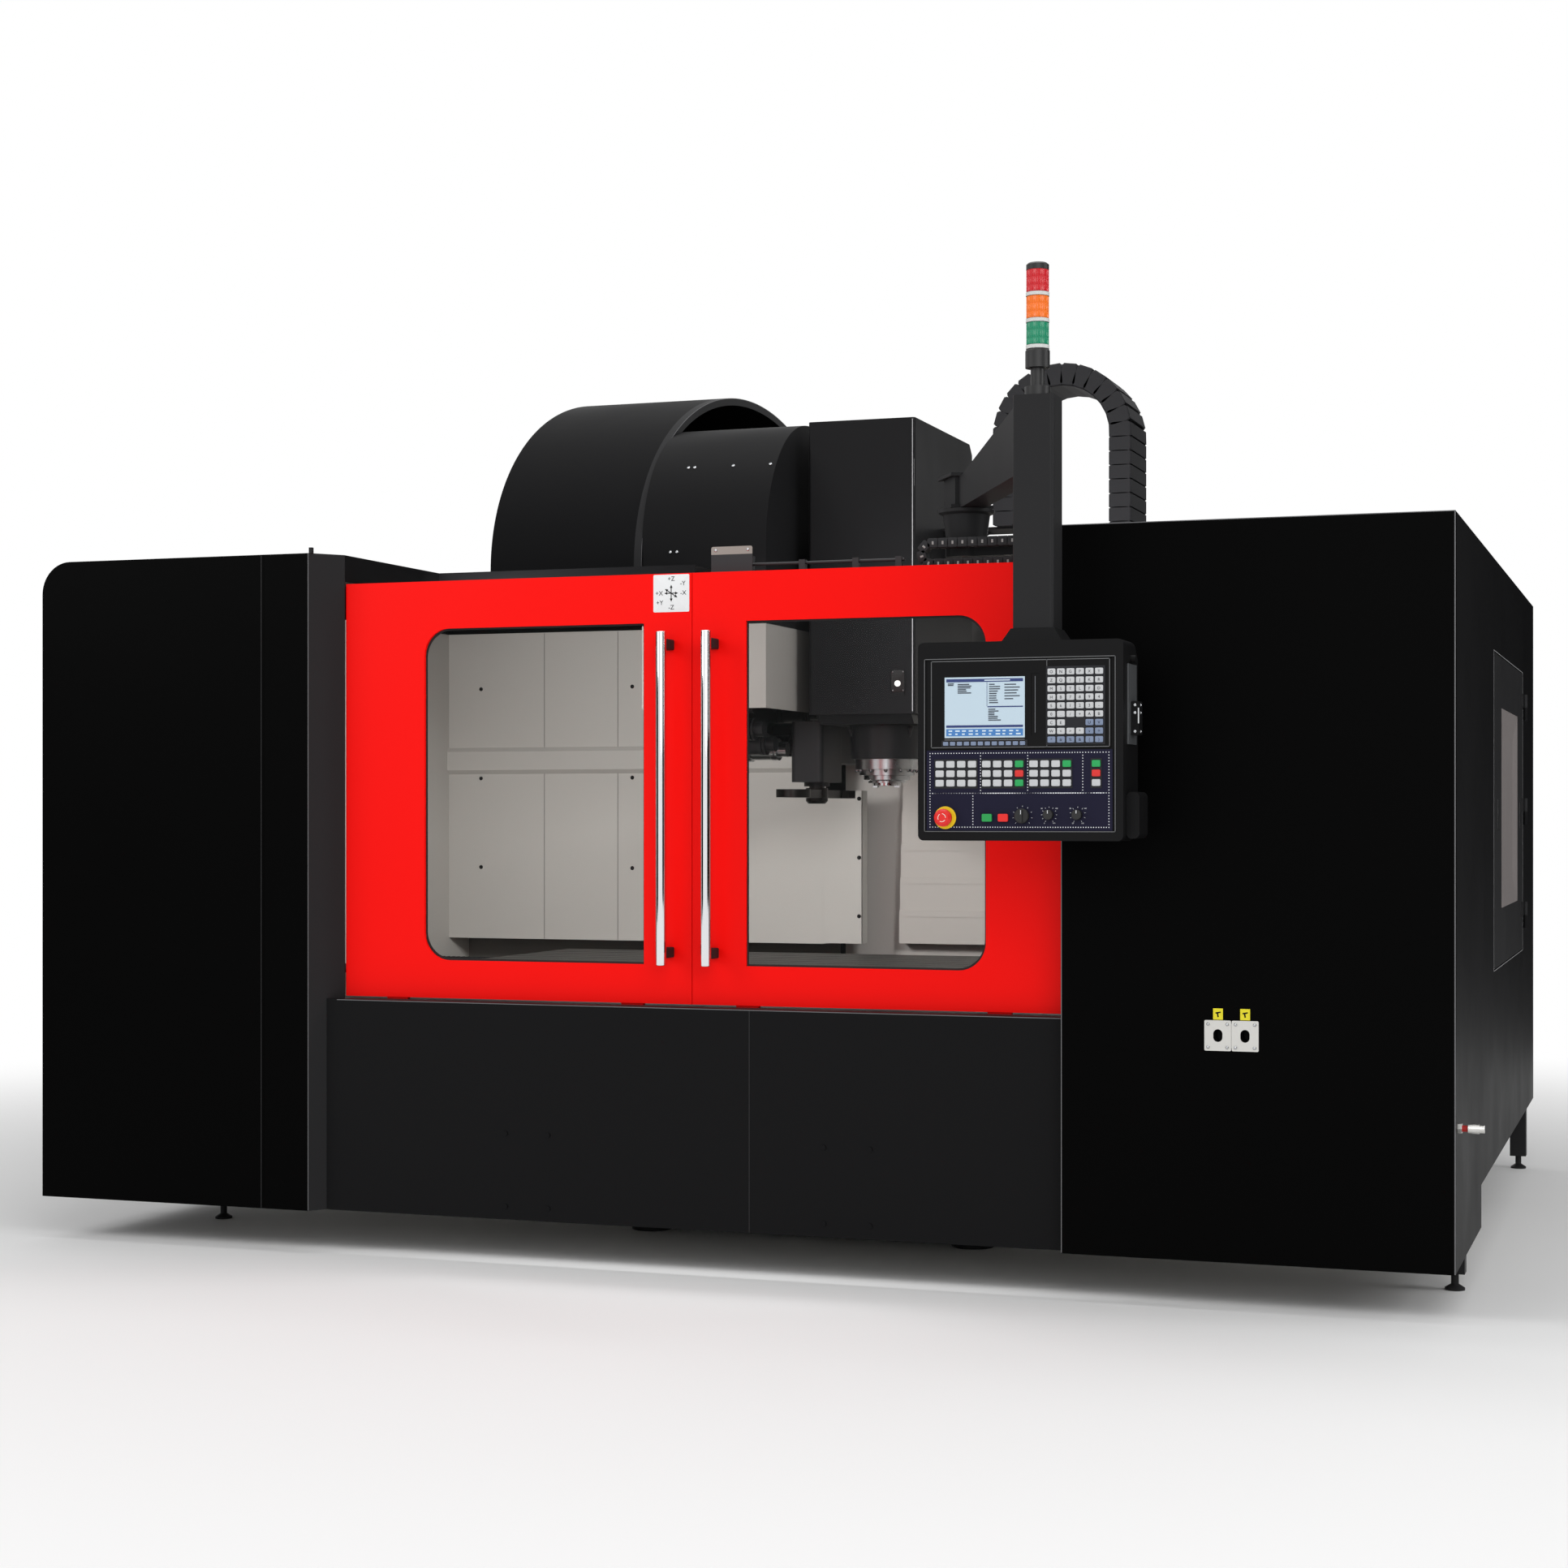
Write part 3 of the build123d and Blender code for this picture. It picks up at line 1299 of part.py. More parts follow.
def pendant_boom():
    """The swinging boom: a pivot block, a rising box arm and the post for the pendant."""
    px, (qx, qy) = mid_x + pivot_x, post_place()
    run = math.hypot(qx - px, qy - pivot_y)
    heading = math.degrees(math.atan2(qy - pivot_y, qx - px))
    low = pivot_bottom + 2
    top = pivot_bottom + 1 + knuckle_height
    side = outline(
        (-70, low), (110, low), (run, post_top - boom_head_drop), (run, post_top), (run - 40, post_top),
        (95, top), (-70, top),
    )
    arm = along_y(side, (-boom_width / 2, boom_width / 2))
    for z in (pivot_bottom + 1, top):
        arm += along_z(rect((-105, 75), (-82, 82)), (z, z + knuckle_plate))
    arm += along_z(rect((-84, 60), (-62, 62)), (pivot_bottom + 1, top))
    arm = Pos(px, pivot_y, 0) * Rot(0, 0, heading) * arm
    bore = disc(px, pivot_y, pivot_pin_radius + running_clearance)
    arm -= along_z(bore, (pivot_bottom - 6, pivot_pin_top + 1))
    half = post_size / 2
    post = along_z(rect((qx - half, qx + half), (qy - half, qy + half)), (pendant_top + 46, post_top))
    post = fillet(post.edges().filter_by(Axis.Z), 12)
    return arm + post + along_z(disc(qx, qy, 30), (pendant_top - 80, pendant_top + 46))


def pendant_housing():
    """The pendant's case, with its sunk face, its neck and the side fittings."""
    x, y, z = pendant_x(), pendant_y(), (pendant_bottom, pendant_top)
    qx, qy = post_place()
    side = outline(
        (y[0], z[0]), (y[1] - 60, z[0]), (y[1], z[0] + 60), (y[1], z[1] - 60), (y[1] - 60, z[1]), (y[0], z[1])
    )
    case = along_x(side, x)
    case = fillet(case.edges().filter_by(Axis.Y), 20)
    face = rect((x[0] + 22, x[1] - 26), (z[0] + 30, z[1] - 56))
    case -= along_y(face, (y[0] - 1, y[0] + 8))
    neck = loft([
        Plane(origin=(qx, qy, z[1] - 2)) * Rectangle(212, 180),
        Plane(origin=(qx, qy, z[1] + 45.5)) * Rectangle(150, 150),
    ])
    case += neck
    case -= along_z(disc(qx, qy, 30.05), (z[1] - 84, z[1] + 46))
    plate = block((x[1], x[1] + 6), (y[0] + 60, y[0] + 190), (z[1] - 350, z[1] - 80))
    latch = block((x[1] + 6, x[1] + 34), (y[0] + 90, y[0] + 150), (z[1] - 320, z[1] - 205))
    holder = block((x[1], x[1] + 44), (y[0] + 50, y[0] + 190), (z[0] + 8, z[0] + 165))
    holder = fillet(holder.edges().filter_by(Axis.Y), 18)
    hook = along_x(disc(y[0] + 120, z[1] - 62, 13), (x[1], x[1] + 18))
    for bx, bz, radius in button_holes():
        case -= along_y(disc(bx, bz, radius), (y[0] + 7, y[0] + 60))
    return case + plate + fillet(latch.edges().filter_by(Axis.Y), 6) + holder + hook


def control_place(at):
    return pendant_x()[0] + at[0], pendant_bottom + at[1]


def button_holes():
    places = (emergency_stop_at, start_button_at, hold_button_at, mode_dial_at, feed_knob_at, speed_knob_at)
    return [(*control_place(at), stem_radius + stem_clearance) for at in places]


def face_y():
    """The pendant's sunk face, where the panels sit."""
    return pendant_y()[0] + face_sink


def knob(at, radius, reach, stand):
    """A grip on a stem: stand is the gap to the panel, reach how far the grip comes out."""
    x, z = control_place(at)
    y = face_y() - panel_thickness
    grip = along_y(disc(x, z, radius), (y - stand - reach, y - stand))
    grip = chamfer(grip.edges().filter_by(GeomType.CIRCLE).group_by(Axis.Y)[0], radius * 0.12)
    return grip + along_y(disc(x, z, stem_radius), (y - stand, y + 40))


def emergency_stop():
    """The red mushroom, which travels in when struck."""
    x, z = control_place(emergency_stop_at)
    y = face_y() - panel_thickness
    head = Pos(x, 0, z) * Rot(90, 0, 0) * revolve(
        Plane.XZ * outline((0, 16), (15, 16), (15, 24), (30, 26), (30, 38), (22, 46), (0, 48)), axis=Axis.Z
    )
    head = Pos(0, y, 0) * head
    return head + along_y(disc(x, z, stem_radius), (y - 20, y + 34))


def mode_dial():
    dial = knob(mode_dial_at, 25, 18, 3)
    x, z = control_place(mode_dial_at)
    y = face_y() - panel_thickness
    return dial + along_y(rect((x - 4, x + 4), (z - 22, z + 22)), (y - 27, y - 21))


def feed_knob():
    return knob(feed_knob_at, 17, 24, 2)


def speed_knob():
    return knob(speed_knob_at, 17, 24, 2)


def square_button(at):
    x, z = control_place(at)
    y = face_y() - panel_thickness
    cap = along_y(rect((x - 17, x + 17), (z - 13, z + 13)), (y - 15, y - 6))
    cap = fillet(cap.edges().filter_by(Axis.Y), 4)
    return cap + along_y(disc(x, z, stem_radius), (y - 6, y + 34))


def control_panels():
    """The display unit and the machine panel, screwed into the pendant's sunk face."""
    x0, z1 = pendant_x()[0], pendant_top
    y = face_y()
    upper = block((x0 + 44, x0 + 668), (y - panel_thickness - 2, y), (z1 - 362, z1 - 62))
    upper -= along_y(rect((x0 + 92, x0 + 376), (z1 - 328, z1 - 118)), (y - panel_thickness - 3, y - 5))
    upper -= along_y(rect((x0 + 396, x0 + 424), (z1 - 318, z1 - 110)), (y - panel_thickness - 3, y - 5))
    lower = block((x0 + 30, x0 + 674), (y - panel_thickness, y), (pendant_bottom + 34, z1 - 368))
    for bx, bz, radius in button_holes():
        lower -= along_y(disc(bx, bz, radius), (y - panel_thickness - 1, y + 1))
    sx, sz = control_place(emergency_stop_at)
    collar = disc(sx, sz, 38) - disc(sx, sz, stem_radius + stem_clearance)
    lower += along_y(collar, (y - panel_thickness - 4, y - panel_thickness))
    return [upper, lower]


def control_screen():
    x0, z1 = pendant_x()[0], pendant_top
    y = face_y() - 5
    return along_y(rect((x0 + 94, x0 + 374), (z1 - 326, z1 - 120)), (y - 1, y))


def control_keys():
    """The keypads: raised keys on a mat beside the screen, and on the machine panel."""
    x0, z1 = pendant_x()[0], pendant_top
    y = face_y() - panel_thickness
    mats = [block((x0 + 448, x0 + 650), (y - 4, y - 2), (z1 - 352, z1 - 88))]
    for row in range(9):
        for col in range(6):
            if row == 6 and col in (2, 3):
                continue
            kx, kz = x0 + 454 + 32.5 * col, z1 - 96 - 28.5 * row
            mats[0] += block((kx, kx + 27), (y - 9, y - 4), (kz - 21, kz))
    for start, cols in ((58, 4), (222, 4), (386, 4), (600, 1)):
        mat = block((x0 + start, x0 + start + 38 * cols), (y - 2, y), (z1 - 498, z1 - 398))
        for row in range(3):
            for col in range(cols):
                kx, kz = x0 + start + 5 + 38 * col, z1 - 404 - 32 * row
                mat += block((kx, kx + 29), (y - 8, y - 2), (kz - 23, kz))
        mats.append(mat)
    soft = block((x0 + 84, x0 + 384), (y - 4, y - 2), (z1 - 356, z1 - 334))
    for col in range(12):
        kx = x0 + 90 + 24.4 * col
        soft += block((kx, kx + 18), (y - 8, y - 4), (z1 - 352, z1 - 339))
    mats.append(soft)
    return mats


def stack_light_base():
    """The light tower's foot, neck, rings and cap."""
    x, y = post_place()
    z, r = post_top, 38.0
    rings = [
        (44, z), (44, z + 34), (24, z + 36), (24, z + 96), (42, z + 98), (42, z + 156), (r + 1, z + 160)
    ]
    tower = turned(x, y, (0, z), *rings, (r + 1, z + 176), (0, z + 176))
    for k in (1, 2):
        low = z + 176 + k * 90 - 14
        tower += turned(x, y, (0, low), (r + 1, low), (r + 1, low + 14), (0, low + 14))
    top = z + 176 + 3 * 90 - 14
    cap = turned(x, y, (0, top), (r + 1, top), (r + 1, top + 18), (r - 6, top + 24), (0, top + 24))
    return [tower, cap]


def stack_light_lenses():
    x, y = post_place()
    lenses = []
    for k in range(3):
        low = post_top + 176 + 90 * k
        lenses.append(turned(x, y, (0, low), (38, low), (38, low + 76), (0, low + 76)))
    return lenses


left_door, left_door_window, left_door_handle = door_parts(-1)
right_door, right_door_window, right_door_handle = door_parts(1)

PARTS = {
    "base_casting": base_casting(),
    "column_casting": column_casting(),
    "guide_rails": guide_rails(),
    "support_feet": support_feet(),
    "saddle_casting": saddle_casting(),
    "work_table": work_table(),
    "head_casting": head_casting(),
    "head_cover": head_cover(),
    "unclamp_button": unclamp_button(),
    "spindle_housing": spindle_housing(),
    "spindle_shaft": spindle_shaft(),
    "magazine_disc": magazine_disc(),
    "change_pot": change_pot(),
    "changer_gearbox": changer_gearbox(),
    "changer_ram": changer_ram(),
    "changer_arm": changer_arm(),
    "x_way_covers": x_way_covers(),
    "y_way_cover": y_way_cover(),
    "z_way_cover": z_way_cover(),
    "z_cable_chain": z_cable_chain(),
    "door_cable_chain": door_cable_chain(),
    "left_door": left_door,
    "left_door_window": left_door_window,
    "left_door_handle": left_door_handle,
    "right_door": right_door,
    "right_door_window": right_door_window,
    "right_door_handle": right_door_handle,
    "door_beam": door_beam(),
    "left_front_panel": front_panels_left(),
    "left_corner_post": left_corner_post(),
    "left_side_panel": left_side_panel(),
    "left_roof_panel": roof_left(),
    "magazine_hood": magazine_hood(),
    "changer_cover": changer_cover(),
    "right_front_panel": right_front_panel(),
    "right_side_panel": right_side_panel(),
    "right_roof_panel": roof_right(),
    "side_door": side_door(),
    "gun_sockets": gun_sockets(),
    "air_coupler": air_coupler(),
    "front_apron": front_apron(),
    "splash_guards": splash_guards(),
    "chip_pan": chip_pan(),
    "rear_panel": rear_panel(),
    "electrical_cabinet": electrical_cabinet(),
    "cabinet_door": cabinet_door(),
    "boom_bracket": boom_bracket(),
    "pendant_boom": pendant_boom(),
    "pendant_housing": pendant_housing(),
    "control_panels": control_panels(),
    "control_screen": control_screen(),
    "control_keys": control_keys(),
    "emergency_stop": emergency_stop(),
    "mode_dial": mode_dial(),
    "feed_knob": feed_knob(),
    "speed_knob": speed_knob(),
    "cycle_start_button": square_button(start_button_at),
    "feed_hold_button": square_button(hold_button_at),
    "stack_light_base": stack_light_base(),
    "stack_light_lenses": stack_light_lenses(),
}

os.makedirs("parts", exist_ok=True)
for name, shape in PARTS.items():
    solids = shape if isinstance(shape, list) else [shape]
    solids = [solid for piece in solids for solid in piece.solids()]
    whole = solids[0] if len(solids) == 1 else Compound(children=solids)
    export_step(whole, f"parts/{name}.step")
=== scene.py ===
import math

import bmesh
import bpy
import numpy as np
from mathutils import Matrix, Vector


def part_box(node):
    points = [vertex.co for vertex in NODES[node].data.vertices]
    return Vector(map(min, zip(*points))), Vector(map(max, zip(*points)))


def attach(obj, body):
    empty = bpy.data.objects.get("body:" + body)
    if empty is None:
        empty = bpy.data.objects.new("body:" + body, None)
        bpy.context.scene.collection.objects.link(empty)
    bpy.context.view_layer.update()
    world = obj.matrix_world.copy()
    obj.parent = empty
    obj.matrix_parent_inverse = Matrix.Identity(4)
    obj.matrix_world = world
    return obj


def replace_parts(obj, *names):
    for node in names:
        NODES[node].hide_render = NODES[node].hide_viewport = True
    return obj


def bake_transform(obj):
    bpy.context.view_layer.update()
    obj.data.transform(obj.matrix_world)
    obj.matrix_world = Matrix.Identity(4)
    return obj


bl_info = {
    "name": "Machining Center",
    "version": (1, 0, 0),
    "blender": (4, 5, 0),
    "location": "View3D > Sidebar > Machine",
    "description": "Finishes, trim and studio for an enclosed vertical machining center",
    "category": "Object",
}

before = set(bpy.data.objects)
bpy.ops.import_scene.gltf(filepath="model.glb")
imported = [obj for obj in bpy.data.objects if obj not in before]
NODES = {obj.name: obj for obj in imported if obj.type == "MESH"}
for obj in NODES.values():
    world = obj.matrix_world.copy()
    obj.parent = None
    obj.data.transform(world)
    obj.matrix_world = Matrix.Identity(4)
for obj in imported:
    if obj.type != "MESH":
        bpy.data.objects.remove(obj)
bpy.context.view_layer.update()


# Colours and sizes that a user would change


def screen_colour(screen):
    """A colour read from a screen, 0 to 255, as linear light."""
    value = np.array(screen) / 255.0
    linear = np.where(value <= 0.04045, value / 12.92, ((value + 0.055) / 1.055) ** 2.4)
    return tuple(float(v) for v in linear)


def colour_property(name, description, *screen):
    """A colour that a user can set, from three screen values."""
    return bpy.props.FloatVectorProperty(
        name=name, description=description, default=screen_colour(screen), subtype="COLOR",
        size=3, min=0.0, max=1.0,
    )


def length_property(name, description, default):
    """A length that a user can set, in metres."""
    return bpy.props.FloatProperty(
        name=name, description=description, default=default, unit="LENGTH", min=0.0001,
    )


class MachineColours(bpy.types.PropertyGroup):
    door: colour_property("Door", "Enamel of the two sliding doors", 253, 8, 3)
    front: colour_property("Front", "Enamel of the front wings", 2, 2, 2)
    sides: colour_property("Sides", "Enamel of the sides, roof, hood and apron", 20, 20, 21)
    trim: colour_property("Trim", "Enamel of the corner post, boom and pendant", 40, 40, 41)
    inside: colour_property("Inside", "Enamel of the inner walls", 196, 193, 187)
    casting: colour_property("Casting", "Enamel of the castings", 120, 122, 120)
    steel: colour_property("Steel", "Ground steel", 186, 188, 190)
    stainless: colour_property("Stainless", "Brushed stainless sheet", 205, 204, 200)
    panel: colour_property("Machine panel", "Film of the pendant's lower panel", 24, 23, 44)
    key: colour_property("Keys", "Light keycaps", 196, 198, 200)
    floor: colour_property("Floor", "Studio floor", 244, 244, 244)


class MachineSizes(bpy.types.PropertyGroup):
    screw: length_property("Screw", "Width across a button-head screw", 0.016)
    seal: length_property("Seal", "Width of the rubber round a window", 0.007)
    link: length_property("Chain link", "Pitch of the large cable chain", 0.062)
    small_link: length_property("Small chain link", "Pitch of the door's cable chain", 0.038)
    bellows: length_property("Bellows fold", "Pitch of the folds beside the table", 0.055)
    edge: length_property("Edge", "Width of the bright line on a folded edge", 0.003)


def sizes():
    """The user's lengths."""
    return bpy.context.scene.machine_sizes


def linear(colour):
    """A user's colour by its name, or three screen values, as linear light."""
    if isinstance(colour, str):
        return tuple(getattr(bpy.context.scene.machine_colours, colour))
    return screen_colour(colour)


# Surfaces worked out with numpy. A shape is a pair: its points and its faces.

X, Y, Z = (1, 0, 0), (0, 1, 0), (0, 0, 1)
FAR = 9.0
UP = np.eye(3)
FRONT = np.array([(1, 0, 0), (0, 0, 1), (0, -1, 0)], float)
RIGHT = np.array([(0, 1, 0), (0, 0, 1), (1, 0, 0)], float)
DOWN = np.array([(1, 0, 0), (0, -1, 0), (0, 0, -1)], float)


def spun(angle):
    """The front facing, turned in its own plane."""
    c, s = math.cos(angle), math.sin(angle)
    return np.array([[c, s, 0], [-s, c, 0], [0, 0, 1]]) @ FRONT


def full_turn(count):
    """Angles at equal steps round a circle."""
    return np.linspace(0, 2 * math.pi, count, endpoint=False)


def grid_faces(rows, columns):
    """Four-sided faces over a grid of points held row by row, each row closed on itself."""
    row, column = np.meshgrid(np.arange(rows - 1), np.arange(columns), indexing="ij")
    following = (column + 1) % columns
    corners = [row * columns + column, row * columns + following,
               (row + 1) * columns + following, (row + 1) * columns + column]
    return np.stack(corners, axis=-1).reshape(-1, 4)


def repeated(faces, points_each, count):
    """The same faces for each of count equal batches of points."""
    step = (np.arange(count) * points_each)[:, None, None]
    return (faces[None] + step).reshape(-1, faces.shape[1])


def placed(shape, facing, *places):
    """A shape turned to a facing and set at each place: place + a*across + b*up + c*out."""
    points, faces = shape
    turned = np.asarray(points, float) @ facing
    places = np.asarray(places, float)
    return (turned[None] + places[:, None]).reshape(-1, 3), repeated(faces, len(points), len(places))


def joined(shapes):
    """Several shapes as one."""
    starts = np.cumsum([0] + [len(points) for points, _ in shapes])
    return (np.concatenate([points for points, _ in shapes]),
            np.concatenate([faces + start for (_, faces), start in zip(shapes, starts)]))


def block(low, high):
    """A plain box between two corners, as eight points and six faces."""
    low, high = np.asarray(low, float), np.asarray(high, float)
    corners = np.array([[x, y, z] for x in (0, 1) for y in (0, 1) for z in (0, 1)])
    faces = np.array([[0, 1, 3, 2], [4, 6, 7, 5], [0, 4, 5, 1], [2, 3, 7, 6], [0, 2, 6, 4], [1, 5, 7, 3]])
    return low + corners * (high - low), faces


def swept(outline, shift):
    """A closed outline and its shifted copy, as the two ends of a bar or thin plate."""
    return np.concatenate([outline, outline + np.array(shift)]), grid_faces(2, len(outline))


def lathe(profile, around=32):
    """A profile of (radius, height) turned about the out axis: (r cos t, r sin t, h)."""
    profile = np.asarray(profile, float)
    turn = full_turn(around)
    radius, height = profile[:, :1], np.repeat(profile[:, 1:], around, axis=1)
    points = np.stack([radius * np.cos(turn), radius * np.sin(turn), height], axis=-1)
    return points.reshape(-1, 3), grid_faces(len(profile), around)


def pillow(width, height, depth, corner=7.0, around=20):
    """A slab with soft edges: superellipse rings, |x/a|^p + |y/b|^p = 1, that shrink towards the top."""
    turn = full_turn(around) + math.pi / around
    x = np.sign(np.cos(turn)) * np.abs(np.cos(turn)) ** (2 / corner) * width / 2
    y = np.sign(np.sin(turn)) * np.abs(np.sin(turn)) ** (2 / corner) * height / 2
    edge = min(min(width, height) * 0.08, depth * 0.6)
    inset = np.array([0, 0, 0.35, 1.0])[:, None] * edge
    level = np.array([0, depth - edge * 0.8, depth - edge * 0.25, depth])
    x = x[None] * (1 - inset / (width / 2))
    y = y[None] * (1 - inset / (height / 2))
    ring = np.stack([x, y, np.repeat(level[:, None], around, axis=1)], axis=-1)
    top = np.tile([0, 0, depth], (1, around, 1))
    return np.concatenate([ring, top]).reshape(-1, 3), grid_faces(5, around)


def rounded_head(width, height):
    """A button-head screw with a sunk socket, turned from its profile."""
    r = width / 2
    profile = [(r, 0), (r, height * 0.25), (r * 0.8, height * 0.75), (r * 0.45, height),
               (r * 0.42, height * 0.45), (0, height * 0.4)]
    return lathe(profile, 20)


def add_object(name, mesh, body=None):
    """Puts a mesh in the scene; it rides on the CAD body, if one is named."""
    made = bpy.data.objects.new(name, mesh)
    bpy.context.scene.collection.objects.link(made)
    if body:
        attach(made, body)
    return made


def piece(name, shapes, material, body=None, smooth=True):
    """A new piece from one shape or a list: doubles merged, ends closed, normals outwards."""
    points, faces = joined(shapes) if isinstance(shapes, list) else shapes
    mesh = bpy.data.meshes.new(name)
    mesh.from_pydata(np.asarray(points).tolist(), [], np.asarray(faces).tolist())
    mesh.materials.append(material)
    work = bmesh.new()
    work.from_mesh(mesh)
    bmesh.ops.remove_doubles(work, verts=work.verts, dist=1e-6)
    open_edges = [edge for edge in work.edges if edge.is_boundary]
    if open_edges:
        bmesh.ops.holes_fill(work, edges=open_edges)
    bmesh.ops.recalc_face_normals(work, faces=work.faces)
    work.to_mesh(mesh)
    work.free()
    mesh.polygons.foreach_set("use_smooth", np.full(len(mesh.polygons), smooth))
    if smooth:
        mesh.set_sharp_from_angle(angle=math.radians(35))
    return add_object(name, mesh, body)


def flat_piece(name, shapes, material, body=None):
    """A new piece with flat faces."""
    return piece(name, shapes, material, body, smooth=False)


# Shared effects


def wire(tree, node, inputs):
    """Links a node's inputs to other nodes' outputs, or gives them values."""
    for label, value in inputs.items():
        if isinstance(value, bpy.types.NodeSocket):
            tree.links.new(value, node.inputs[label])
        else:
            node.inputs[label].default_value = value


def add(tree, kind, inputs=None, **settings):
    """A shader node with its settings and inputs."""
    node = tree.nodes.new("ShaderNode" + kind)
    for label, value in settings.items():
        setattr(node, label, value)
    wire(tree, node, inputs or {})
    return node


def maths(tree, operation, *values, kind="Math"):
    """The result of one step of arithmetic on links and numbers."""
    node = add(tree, kind, dict(enumerate(values)), operation=operation)
    return next(socket for socket in node.outputs if socket.enabled)


def enamel_skin(tree, given):
    """Baked enamel: a fine orange peel, slow changes of tone, and a little dust on what faces up."""
    place = add(tree, "TexCoord").outputs["Object"]
    peel = add(tree, "TexNoise", {"Vector": place, "Scale": given["Peel"], "Detail": 2.0}).outputs["Fac"]
    cloud = add(tree, "TexNoise", {"Vector": place, "Scale": 2.3, "Detail": 6.0}).outputs["Fac"]
    rise = add(tree, "SeparateXYZ", {0: add(tree, "NewGeometry").outputs["Normal"]}).outputs["Z"]
    lying = add(tree, "MapRange", {"Value": rise, "From Min": 0.3, "To Min": 0.25}).outputs["Result"]
    share = maths(tree, "MULTIPLY", maths(tree, "MULTIPLY", cloud, lying), given["Dust"])
    tones = {"Factor": share, "A": given["Colour"], "B": given["Dust Colour"]}
    return {
        "Colour": add(tree, "Mix", tones, data_type="RGBA").outputs["Result"],
        "Roughness": maths(tree, "MULTIPLY_ADD", cloud, 0.18, given["Roughness"]),
        "Height": peel,
    }


def brushed_lines(tree, given):
    """Lines along one direction: noise on coordinates that are stretched along it."""
    place = add(tree, "TexCoord").outputs["Object"]
    stretched = maths(tree, "MULTIPLY", place, given["Stretch"], kind="VectorMath")
    lines = add(tree, "TexNoise", {"Vector": stretched, "Scale": 1.0, "Detail": 3.0}).outputs["Fac"]
    depth = maths(tree, "MULTIPLY", maths(tree, "SUBTRACT", lines, 0.5), given["Contrast"])
    shade = {0: given["Colour"], "Scale": maths(tree, "ADD", depth, 1.0)}
    return {
        "Colour": add(tree, "VectorMath", shade, operation="SCALE").outputs[0],
        "Roughness": maths(tree, "ADD", given["Roughness"], depth),
        "Height": lines,
    }


def band_mask(tree, given):
    """A mask that is 1 between two heights along a chosen direction of the object, and 0 elsewhere."""
    place = add(tree, "TexCoord").outputs["Object"]
    along = maths(tree, "DOT_PRODUCT", place, given["Direction"], kind="VectorMath")
    above = maths(tree, "GREATER_THAN", along, given["Low"])
    return {"Mask": maths(tree, "MULTIPLY", above, maths(tree, "LESS_THAN", along, given["High"]))}


GREY = (0.5, 0.5, 0.5, 1)
SOCKETS = {1: "NodeSocketFloat", 3: "NodeSocketVector", 4: "NodeSocketColor"}
GROUPS = {
    "Enamel Skin": (enamel_skin, {
        "Colour": GREY, "Dust Colour": GREY, "Dust": 0.1, "Roughness": 0.4, "Peel": 260.0,
    }),
    "Brushed Lines": (brushed_lines, {
        "Colour": GREY, "Stretch": (4.0, 400.0, 400.0), "Roughness": 0.3, "Contrast": 0.2,
    }),
    "Band Mask": (band_mask, {"Direction": (0.0, 0.0, 1.0), "Low": 0.0, "High": 1.0}),
}


def shared_group(name):
    """A shader node group, made when it is first asked for."""
    if name in bpy.data.node_groups:
        return bpy.data.node_groups[name]
    build, inputs = GROUPS[name]
    tree = bpy.data.node_groups.new(name, "ShaderNodeTree")
    for label, default in inputs.items():
        kind = SOCKETS[np.size(default)]
        tree.interface.new_socket(label, in_out="INPUT", socket_type=kind).default_value = default
    made = build(tree, tree.nodes.new("NodeGroupInput").outputs)
    for label in made:
        kind = SOCKETS[4 if label == "Colour" else 1]
        tree.interface.new_socket(label, in_out="OUTPUT", socket_type=kind)
    wire(tree, tree.nodes.new("NodeGroupOutput"), made)
    return tree


def effect(tree, name, **values):
    """The outputs of a shared group with its values set; Dust_Colour stands for the input Dust Colour."""
    node = add(tree, "Group", node_tree=shared_group(name))
    for label, value in values.items():
        socket = node.inputs[label.replace("_", " ")]
        socket.default_value = (*value, 1.0) if socket.type == "RGBA" else value
    return node.outputs


def blank_material(name):
    """A new finish: its material, its node tree and its shader."""
    material = bpy.data.materials.new(name)
    material.use_nodes = True
    return material, material.node_tree, material.node_tree.nodes["Principled BSDF"]


def bump(tree, height, distance, strength=0.4):
    """The normal of a surface that a height lifts."""
    return add(tree, "Bump", {"Height": height, "Distance": distance, "Strength": strength}).outputs["Normal"]


def dusted(colour, lift):
    """A colour as it looks under dust: lift + 0.9 of it."""
    return tuple(min(1.0, lift + value * 0.9) for value in colour)


def enamel(name, colour, roughness=0.35, specular=0.3, dust=0.05, peel=260.0, depth=0.0003):
    """Painted sheet or casting."""
    material, tree, shader = blank_material(name)
    colour = linear(colour)
    skin = effect(tree, "Enamel Skin", Colour=colour, Dust_Colour=dusted(colour, 0.12), Dust=dust,
                  Roughness=roughness, Peel=peel)
    wire(tree, shader, {
        "Base Color": skin["Colour"], "Roughness": skin["Roughness"], "Specular IOR Level": specular,
        "Normal": bump(tree, skin["Height"], depth),
    })
    return material


def metal(name, colour, stretch=(4.0, 400.0, 400.0), roughness=0.28, contrast=0.25, depth=0.0001):
    """Bare metal with the lines of its grinding or brushing."""
    material, tree, shader = blank_material(name)
    lines = effect(tree, "Brushed Lines", Colour=linear(colour), Stretch=stretch, Roughness=roughness,
                   Contrast=contrast)
    wire(tree, shader, {
        "Base Color": lines["Colour"], "Roughness": lines["Roughness"], "Metallic": 1.0,
        "Normal": bump(tree, lines["Height"], depth, 0.3),
    })
    return material


